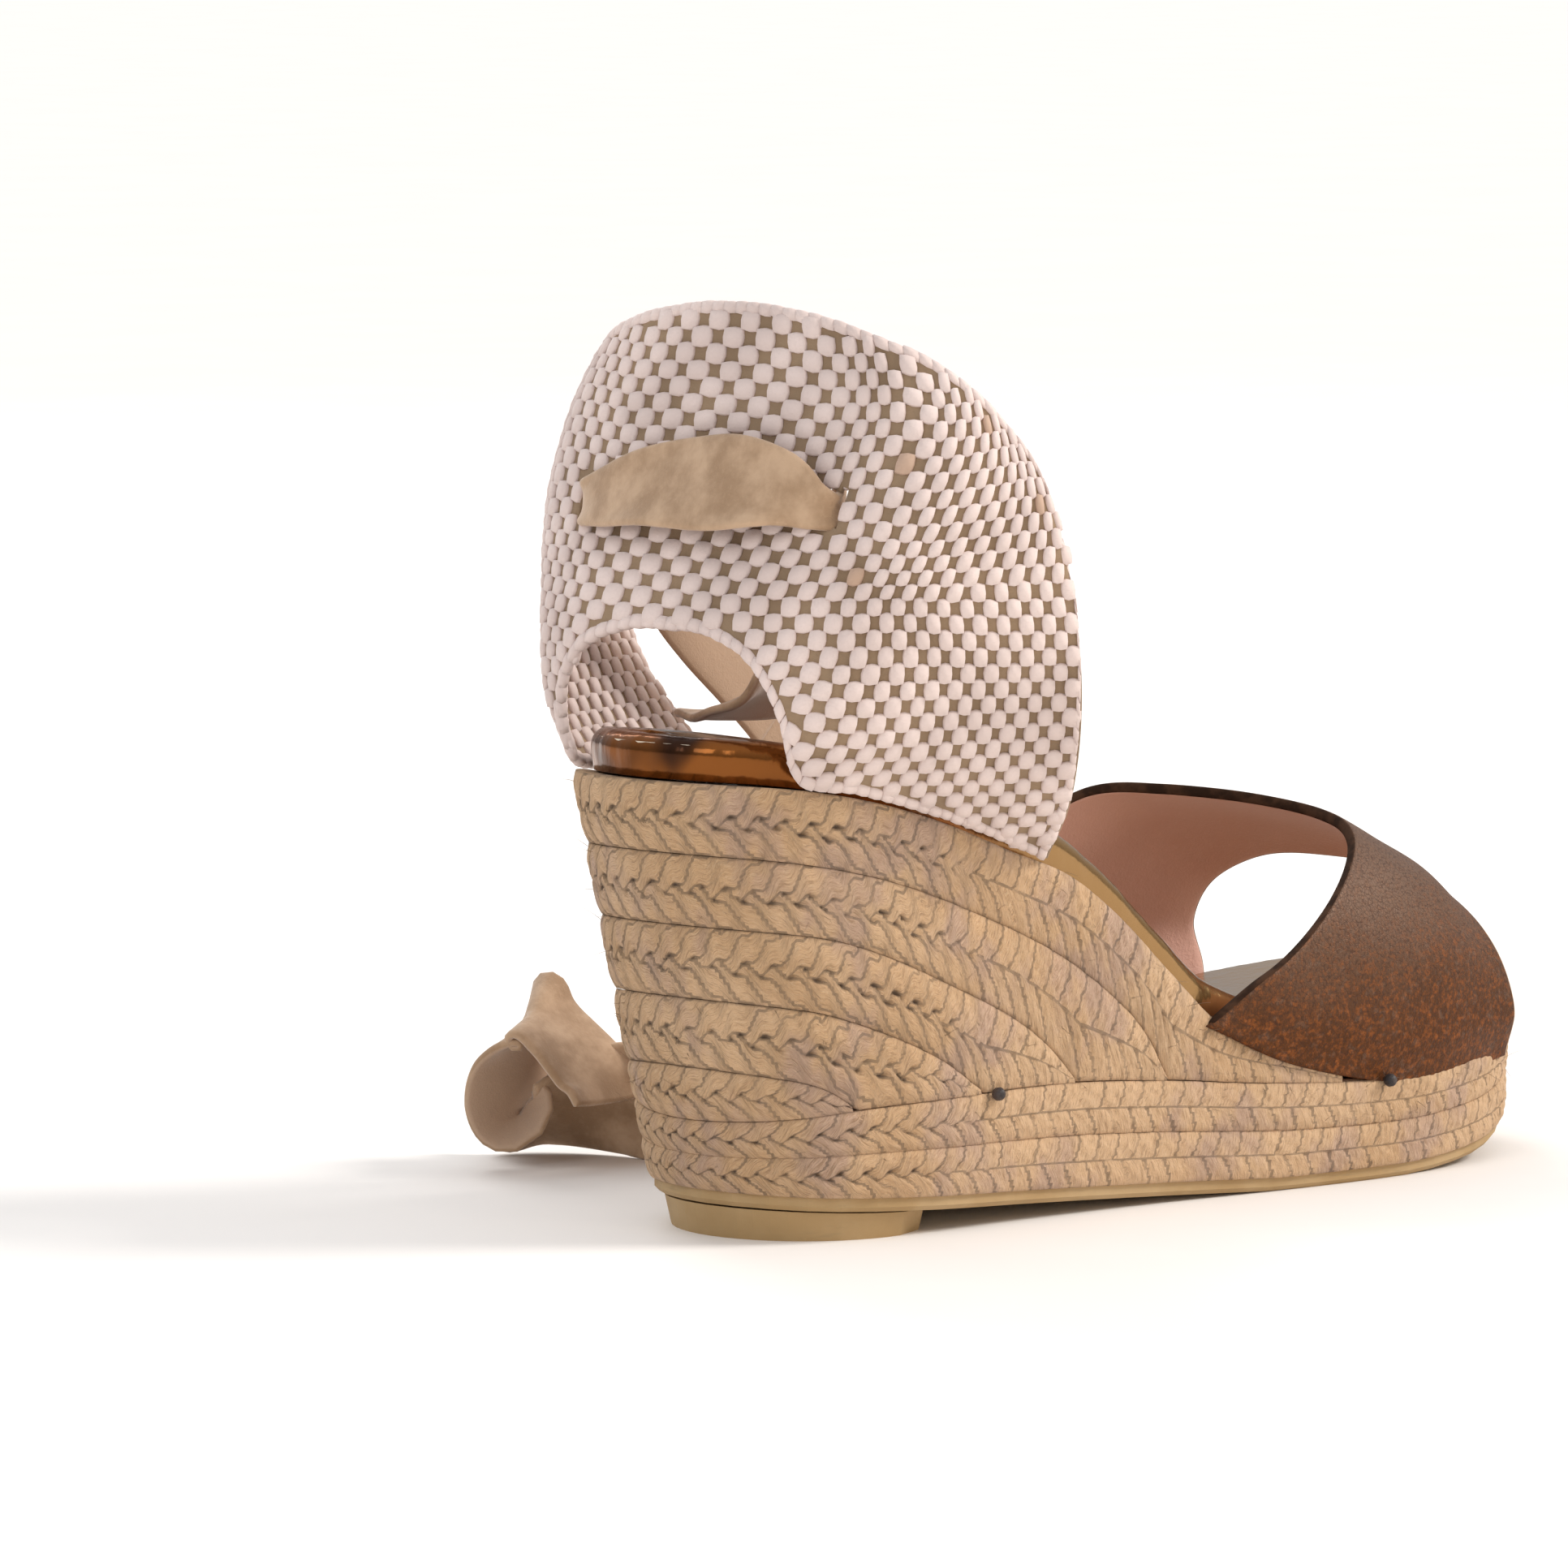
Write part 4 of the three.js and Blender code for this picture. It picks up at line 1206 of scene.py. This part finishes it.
    def lattice(self, side: Weave) -> tuple[Array, ...]:
        """Return the places, directions and half sizes of the tufts on one side of the cloth."""
        columns, rows = self.lattice_reach
        i, j = np.meshgrid(np.arange(-columns, columns + 1), np.arange(-rows, rows + 2), indexing="ij")
        own = (i + j) % 2 == (0 if side is Weave.OUTER else 1)
        i, j = i[own], j[own]
        along, across, inside = self.reach(*self.knot_place(i, j))
        i, j, along, across = i[inside], j[inside], along[inside], across[inside]
        left = np.where(i > 0, -1.0, 1.0)
        down = np.where(along > 0.5, -1.0, 1.0)
        middle = self.surface(along, across)
        beside = self.surface(*self.reach(*self.knot_place(i + left, j))[:2])
        above = self.surface(*self.reach(*self.knot_place(i, j + down))[:2])
        over = (beside - middle) * left[:, None] * self.fill
        up = (above - middle) * down[:, None] * self.fill
        return along, across, up, over

    def in_slot(self, points: Array, margin: float = 0.0) -> Array:
        """Return which points lie in one of the slots."""
        wide = np.abs(np.abs(points[:, 1]) - self.slot_y) < self.slot_half[0] + margin
        middle = np.where(points[:, 1] < 0, self.slot_z[0], self.slot_z[1])
        tall = np.abs(points[:, 2] - middle) < self.slot_half[1] + margin
        return wide & tall & (points[:, 0] < 0)

    def edge_places(self) -> tuple[Array, Array]:
        """Return places a little inside the cloth's edges, one for each edge tuft."""
        v, u = self.edge_inset
        corners = [(v, u), (v, 1 - u), (1 - v, 1 - u), (1 - v, u), (v, u)]
        along, across = [], []
        for (v0, u0), (v1, u1) in zip(corners, corners[1:]):
            part = np.linspace(0, 1, 400)
            run = self.patch.at(v0 + (v1 - v0) * part, u0 + (u1 - u0) * part)
            length = np.concatenate([[0], np.cumsum(np.linalg.norm(np.diff(run, axis=0), axis=1))])
            stops = np.arange(0, length[-1] - 1.2, length[-1] / round(length[-1] / self.edge_pitch))
            reached = np.interp(stops, length, part)
            along.append(v0 + (v1 - v0) * reached)
            across.append(u0 + (u1 - u0) * reached)
        return np.concatenate(along), np.concatenate(across)

    @staticmethod
    def pillow() -> bpy.types.Mesh:
        """Return the mesh of one tuft: a cube cut once each way and rounded."""
        shape = bmesh.new()
        bmesh.ops.create_cube(shape, size=2)
        bmesh.ops.subdivide_edges(shape, edges=shape.edges, cuts=1, use_grid_fill=True)
        for vertex in shape.verts:
            size = sum(abs(value) ** 5 for value in vertex.co) ** (1 / 5)
            vertex.co = vertex.co / size
            vertex.co.z *= 1 - 0.14 * (vertex.co.x**2 + vertex.co.y**2)
        data = bpy.data.meshes.new("tuft_shape")
        shape.to_mesh(data)
        shape.free()
        return data

    def add_tufts(
        self, piece: Piece, shape: bpy.types.Mesh, places: tuple[Array, ...], height: float, lift: float
    ) -> None:
        """Add tufts to a piece.

        Args:
            piece: The piece they belong to.
            shape: Mesh of one tuft.
            places: Places along and across, and the half extents of each tuft as two vectors.
            height: Half the height of a tuft.
            lift: Offset of their middles from the cloth's middle, outwards.
        """
        chance = np.random.default_rng(len(places[0]))
        centre, _, _, normal = frames_on(self.surface, places[0], places[1])
        keep = ~self.in_slot(centre, self.slot_clear)
        centre, normal, up, over = (a[keep] for a in (centre, normal, places[2], places[3]))
        grown = chance.normal(1, 0.04, (3, len(centre), 1))
        turn = chance.normal(0, 0.05, (len(centre), 1))
        up, over = (up + over * turn) * grown[0], (over - up * turn) * grown[1]
        thick = normal * height * grown[2]
        centre = centre + normal * (lift + chance.normal(0, 0.05, len(centre)))[:, None]
        local = np.array([v.co[:] for v in shape.vertices])
        flecked = chance.random(len(centre))
        for k in range(len(centre)):
            before = len(piece.mesh.verts)
            piece.mesh.from_mesh(shape)
            piece.mesh.verts.ensure_lookup_table()
            points = (centre[k] + local @ np.stack([up[k], over[k], thick[k]])) * MM
            for vertex, point in zip(piece.mesh.verts[before:], points.tolist()):
                vertex.co = point
                vertex[piece.mark] = 1.0 if flecked[k] > 1 - self.fleck_share else 0.0

    def lay_tufts(self, side: Weave, shape: bpy.types.Mesh) -> bpy.types.Object:
        """Build the tufts of one side of the cloth."""
        piece = Piece(f"tufts_{side.name.lower()}")
        self.add_tufts(piece, shape, self.lattice(side), self.tuft_height, side.value * self.tuft_lift)
        return piece.finish(TUFT_YARN, weld=False)

    def lay_edge(self, shape: bpy.types.Mesh) -> bpy.types.Object:
        """Build the tufts that bind the edges."""
        piece = Piece("tufts_edge")
        along, across = self.edge_places()
        _, run, side, _ = frames_on(self.surface, along, across)
        upright = ((across < 0.01) | (across > 0.99))[:, None]
        length, width, height = self.edge_tuft
        sizes = np.where(upright, [[length, width]], [[width, length]])
        self.add_tufts(piece, shape, (along, across, run * sizes[:, :1], side * sizes[:, 1:]), height, 0.0)
        return piece.finish(TUFT_YARN, weld=False)

    def cut_slots(self, piece: Piece) -> None:
        """Cut the two tie slots through the cloth and close their walls."""
        inside = [f for f in piece.mesh.faces if self.in_slot(np.array([f.calc_center_median()]) / MM)[0]]
        bmesh.ops.delete(piece.mesh, geom=inside, context="FACES")
        rims = [edge for edge in piece.mesh.edges if len(edge.link_faces) == 1]
        for side in (-1, 1):
            loop = [edge for edge in rims if edge.verts[0].co.y * side > 0]
            bmesh.ops.bridge_loops(piece.mesh, edges=loop)

    def build(self) -> list[bpy.types.Object]:
        """Build the cloth and its tufts."""
        ground = Piece("quarter_cloth")
        skin = Skin(self.surface, 64, 130, self.cloth / 2, -self.cloth / 2)
        skin.lay(ground, lambda around, along: skin.chart(around, along) * np.array([19.0, 8.0]))
        bmesh.ops.remove_doubles(ground.mesh, verts=ground.mesh.verts, dist=WELD)
        self.cut_slots(ground)
        cloth = ground.finish(GROUND_YARN)
        shape = self.pillow()
        made = [cloth, self.lay_tufts(Weave.OUTER, shape), self.lay_tufts(Weave.INNER, shape), self.lay_edge(shape)]
        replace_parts(cloth, "quarter_base_outer", "quarter_base_inner", "quarter_cuff")
        start, end = ((self.fold_x * MM, 0, z * MM) for z in (self.fold_start, self.fold_end))
        for piece in made:
            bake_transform(piece)
            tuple(start)
            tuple(end)
        return made


# ---------- the suede tie ----------
@dataclass
class TieRoute:
    """Where one length of the suede tie runs: its middle line, the way its width points, and its width."""

    at: tuple
    across: tuple
    width: tuple
    lines: dict = field(default_factory=dict)

    def __post_init__(self) -> None:
        """Make smooth lines of the route."""
        self.lines = {"at": Line(self.at), "across": Line(self.across), "width": Line(self.width)}

    def surface(self, along: Array, across: Array) -> Array:
        """Return points on the middle surface of the tie."""
        step = 0.002
        path = self.lines["at"]
        run = unit(path.at(np.clip(along + step, 0, 1)) - path.at(np.clip(along - step, 0, 1)))
        side = self.lines["across"].at(along)
        side = unit(side - run * np.sum(side * run, axis=1, keepdims=True))
        face = np.cross(run, side)
        width = self.lines["width"].at(along)[:, None]
        over = (across - 0.5)[:, None]
        cup = (1 - (2 * over) ** 2) * 0.5 + 0.35 * np.sin(along * 31 + across * 5)[:, None] * np.abs(2 * over) ** 2
        return path.at(along) + side * over * width + face * cup

    def part(self, start: float, end: float) -> Surface:
        """Return the stretch of the tie between two places along it, as a surface of its own."""
        return lambda along, across: self.surface(start + (end - start) * along, across)

    def length(self) -> float:
        """Return the length of the tie's middle line."""
        points = self.lines["at"].at(np.linspace(0, 1, 400))
        return float(np.linalg.norm(np.diff(points, axis=0), axis=1).sum())


@dataclass
class SuedeTie:
    """The long suede tie: a band round the back, a run on each inner side, and a curled tail."""

    thick: float = 1.7
    band: TieRoute = field(default_factory=lambda: TieRoute(
        at=((-20.5, -26.5, 134.4), (-24, -30.4, 134.4), (-27.2, -31.2, 134.2), (-30.2, -28.8, 135.4),
            (-32.6, -22, 138.2), (-34, -11, 138.8), (-34, 0, 138.3), (-33.6, 11, 137), (-32.4, 22, 134.8),
            (-30.2, 28.8, 133.2), (-27.2, 31.2, 132.8), (-24, 30.4, 133), (-20.5, 26.5, 133.2)),
        across=((0, 0, 1), (0, 0, 1), (0, 0, 1), (0.15, 0, 1), (0.4, 0, 1), (0.5, 0, 1), (0.5, 0, 1),
                (0.46, 0, 1), (0.36, 0, 1), (0.15, 0, 1), (0, 0, 1), (0, 0, 1), (0, 0, 1)),
        width=(6, 5.5, 5.2, 7.4, 13, 17, 16.4, 13.8, 10.4, 7.6, 6.6, 6.2, 6.2),
    ))
    outer: TieRoute = field(default_factory=lambda: TieRoute(
        at=((-18.8, -24.7, 134.4), (-16, -21.4, 133), (-13.8, -17, 125.5), (-12.2, -9.5, 113.5),
            (-10.5, -1, 102.5), (-7, 8.5, 96.6), (0, 20, 92.6)),
        across=((0, 0, 1), (0.25, 0.3, 0.95), (0.75, 0.4, 0.5), (0.9, 0.3, 0.3), (0.9, 0, 0.45),
                (0.9, -0.4, 0.25), (0.8, -0.6, 0)),
        width=(6, 8, 14, 19.5, 21.5, 22, 22),
    ))
    inner: TieRoute = field(default_factory=lambda: TieRoute(
        at=((-18.6, 24.9, 133.3), (-15.2, 27.6, 132), (-9, 31.4, 126.5), (1, 35.2, 118), (11, 37, 109.5),
            (22, 37.8, 100.5), (32, 38.6, 92.1), (37.2, 38.9, 86.6), (41, 40.4, 77), (42, 43, 57),
            (40, 46.5, 35), (36.5, 54, 21), (34.4, 66.6, 12.5), (29.7, 81.5, 11.7), (21.4, 91.6, 9.0),
            (15.8, 94.5, 8.4), (13.7, 93.8, 14), (12.9, 91.7, 22), (12.8, 87.5, 30), (15.2, 82.1, 26),
            (17.6, 75.4, 18.5), (17.9, 72.2, 13.5)),
        across=((0, 0, 1), (0.15, 0, 0.98), (0.4, -0.1, 0.9), (0.58, -0.1, 0.78), (0.65, 0, 0.72),
                (0.72, 0, 0.68), (0.8, 0, 0.6), (0.85, 0, 0.5), (0.95, 0, 0.3), (1, 0, 0.05),
                (0.95, 0.15, 0.2), (0.55, 0.2, 0.75), (-0.07, -0.07, 1), (-0.25, -0.24, 0.93),
                (-0.47, -0.59, 0.65), (-0.85, -0.27, 0.42), (-0.99, 0.05, 0.1), (-0.98, -0.11, -0.15),
                (-0.7, -0.53, -0.48), (-0.89, -0.37, -0.2), (-0.93, -0.26, -0.22), (-0.93, -0.26, -0.25)),
        width=(6.2, 8, 14, 19, 21, 21, 21, 21.5, 22, 22.5, 23, 23, 23, 22.5, 21.5, 21, 21, 21, 22, 22, 21, 18),
    ))
    joint_place: float = 6 / 21
    mean_widths: tuple = (14.2, 18.3, 17.3, 22.6)

    def strip(self, name: str, surface: Surface, length: float, nodes: tuple[str, ...]) -> bpy.types.Object:
        """Build one length of the tie.

        Args:
            name: Name of the piece.
            surface: Its middle surface.
            length: Its length.
            nodes: CAD nodes that it stands for.

        Returns:
            The strip.
        """
        piece = Piece(name)
        skin = Skin(surface, max(int(length / 1.1), 12), 14, self.thick / 2, -self.thick / 2, rim_steps=6)
        skin.lay(piece)
        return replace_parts(piece.finish(SUEDE), *nodes)

    def build(self) -> list[bpy.types.Object]:
        """Build the four lengths of the tie."""
        band = self.strip("tie_band", self.band.surface, self.band.length(), ("tie_back_band",))
        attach(band, "cuff")
        outer = self.strip("tie_outer", self.outer.surface, self.outer.length(), ("tie_outer_run",))
        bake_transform(outer)
        whole = self.inner.length()
        cut = self.joint_place
        inner = self.strip("tie_inner", self.inner.part(0, cut), whole * cut * 0.85, ("tie_inner_run",))
        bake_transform(inner)
        tail = self.strip("tie_tail_strip", self.inner.part(cut, 1), whole * (1 - cut), ("tie_tail",))
        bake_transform(tail)
        joint = self.inner.lines["at"].at(np.linspace(0, cut, 300))
        short = float(np.linalg.norm(np.diff(joint, axis=0), axis=1).sum())
        lengths = (self.band.length(), self.outer.length(), short, whole - short)
        made = [band, outer, inner, tail]
        for piece, width, length in zip(made, self.mean_widths, lengths):
            LOG.info("%s: %.1f mm long", piece.name, length)
        return made


# ---------- carried-over nodes ----------
def dress_nodes() -> None:
    """Give every CAD node that is still shown its own finish."""
    finishes = {
        "outsole": RUBBER, "heel_lift": RUBBER, "wedge_core": CORK, "seam_knot_1": THREAD, "seam_knot_2": THREAD,
        "insole_board": BOARD, "insole_foam": FOAM,
    }
    for name, material in finishes.items():
        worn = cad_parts[name].data.materials
        worn.clear()
        worn.append(material)


# ---------- studio ----------
@dataclass(frozen=True)
class SoftLight:
    """Soft square light, with its place and size in metres and its power in watts."""

    name: str
    at: tuple
    aim: tuple
    size: float
    power: float
    tint: Colour = (1, 1, 1)

    def build(self) -> None:
        """Add the light."""
        data = bpy.data.lights.new(self.name, "AREA")
        data.size, data.energy, data.color = self.size, self.power, self.tint
        stand(self.name, data, self.at, Vector(self.aim) - Vector(self.at))


@dataclass(frozen=True)
class MainLight:
    """Main light, far away and soft, with its spread in degrees."""

    at: tuple = (1.3, -1.25, 1.45)
    power: float = 2.3
    spread: float = 20
    tint: Colour = (1, 0.965, 0.92)

    def build(self) -> None:
        """Add the light."""
        data = bpy.data.lights.new("main_light", "SUN")
        data.energy, data.angle, data.color = self.power, math.radians(self.spread), self.tint
        stand("main_light", data, (0, 0, 0), -Vector(self.at))


def stand(name: str, data: bpy.types.ID, at: tuple, towards: Vector) -> bpy.types.Object:
    """Add a light or camera to the scene.

    Args:
        name: Name of its object.
        data: The light or camera.
        at: Where it stands, in metres.
        towards: The way it looks.

    Returns:
        The object.
    """
    made = bpy.data.objects.new(name, data)
    made.location = at
    made.rotation_euler = towards.to_track_quat("-Z", "Y").to_euler()
    bpy.context.scene.collection.objects.link(made)
    return made


@dataclass
class Studio:
    """Pale floor, soft white light and the camera."""

    camera_at: tuple = (-1.2806, -1.2367, 0.2661)
    target: tuple = (0.0048, 0.0122, 0.0797)
    lens: float = 223.6
    sensor: float = 36
    floor_size: float = 60000
    sky: dict = field(default_factory=lambda: {"From Min": -0.1, "From Max": 0.8, "To Min": 0.28, "To Max": 0.94})
    sky_tint: Colour = (0.97, 0.98, 1)
    lights: tuple = (
        MainLight(),
        SoftLight("fill_light", (-1.6, -0.3, 0.9), (0.05, 0, 0.06), 0.8, 5, (0.95, 0.97, 1)),
        SoftLight("low_light", (0.16, -1.6, 0.24), (0, 0, 0.08), 0.3, 3.5, (1, 0.86, 0.7)),
        SoftLight("rim_light", (0.6, 1.4, 1.2), (0.05, 0, 0.08), 0.8, 9),
    )

    def build_floor(self) -> None:
        """Build a floor that runs on past the edges of the view."""
        size = self.floor_size
        piece = Piece("studio_floor")
        piece.lay_grid(2, 2, lambda u, v: np.stack([(u - 0.5) * size, (v - 0.5) * size, u * 0], axis=-1))
        piece.finish(FLOOR, turn_out=False)

    def build_sky(self) -> None:
        """Build the surroundings: white overhead and dimmer towards the floor."""
        world = bpy.data.worlds.new("studio_surround")
        world.use_nodes = True
        nodes, links = world.node_tree.nodes, world.node_tree.links
        height = nodes.new("ShaderNodeSeparateXYZ")
        links.new(nodes.new("ShaderNodeTexCoord").outputs["Generated"], height.inputs[0])
        spread = nodes.new("ShaderNodeMapRange")
        for key, value in self.sky.items():
            spread.inputs[key].default_value = value
        links.new(height.outputs["Z"], spread.inputs["Value"])
        links.new(spread.outputs["Result"], nodes["Background"].inputs["Strength"])
        nodes["Background"].inputs["Color"].default_value = (*self.sky_tint, 1)
        bpy.context.scene.world = world

    def build(self) -> None:
        """Build the floor, the lights, the surroundings and the camera."""
        scene = bpy.context.scene
        scene.view_settings.view_transform = "Standard"
        self.build_sky()
        self.build_floor()
        for light in self.lights:
            light.build()
        data = bpy.data.cameras.new("camera")
        data.lens, data.sensor_width, data.clip_start, data.clip_end = self.lens, self.sensor, 0.05, 50
        scene.camera = stand("camera", data, self.camera_at, Vector(self.target) - Vector(self.camera_at))


JUTE = JuteFinish().material()
RUBBER = RubberFinish().material()
BRONZE = BronzeFinish().material()
CRACKLE = CrackleFinish().material()
SUEDE = SuedeFinish().material()
LINING = SuedeFinish("lining_leather", (0.78, 0.46, 0.38), (0.85, 0.55, 0.47), (0.76, 0.47, 0.39), 1900, 0.2).material()
TUFT_YARN = YarnFinish("tuft_yarn", (0.74, 0.61, 0.565), (0.64, 0.52, 0.48), (0.42, 0.24, 0.12), 0.65).material()
GROUND_YARN = YarnFinish("ground_yarn", (0.31, 0.215, 0.135), (0.23, 0.155, 0.095), (0.36, 0.16, 0.07)).material()
EDGE_PAINT = PlainFinish("edge_paint", (0.030, 0.015, 0.009), (0.065, 0.032, 0.018), 900, 0.9, 0.08).material()
TURNED_EDGE = PlainFinish("turned_edge", (0.60, 0.48, 0.36), (0.48, 0.36, 0.26), 900, 0.8).material()
THREAD = PlainFinish("waxed_thread", (0.03, 0.025, 0.025), (0.06, 0.045, 0.04), 1500, 0.5).material()
BOARD = PlainFinish("fibre_board", (0.25, 0.15, 0.08), (0.32, 0.2, 0.11)).material()
FOAM = PlainFinish("insole_padding", (0.7, 0.62, 0.5), (0.6, 0.52, 0.42), 1200).material()
CORK = PlainFinish("pressed_cork", (0.38, 0.24, 0.12), (0.22, 0.13, 0.07), 350).material()
FLOOR = PlainFinish("studio_floor", (0.86, 0.83, 0.80), (0.87, 0.84, 0.81), 60, 0.7).material()


def main() -> None:
    """Build the sandal's looks and report each part."""
    logging.basicConfig(level=logging.INFO, format="%(name)s %(message)s")
    Studio().build()
    wedge = JuteWedge()
    parts = (wedge, Insole(), Vamp(), Quarter(), SuedeTie())
    for part in parts:
        part.build()
        LOG.info("built %s", type(part).__name__)
    dress_nodes()


if __name__ == "__main__":
    main()
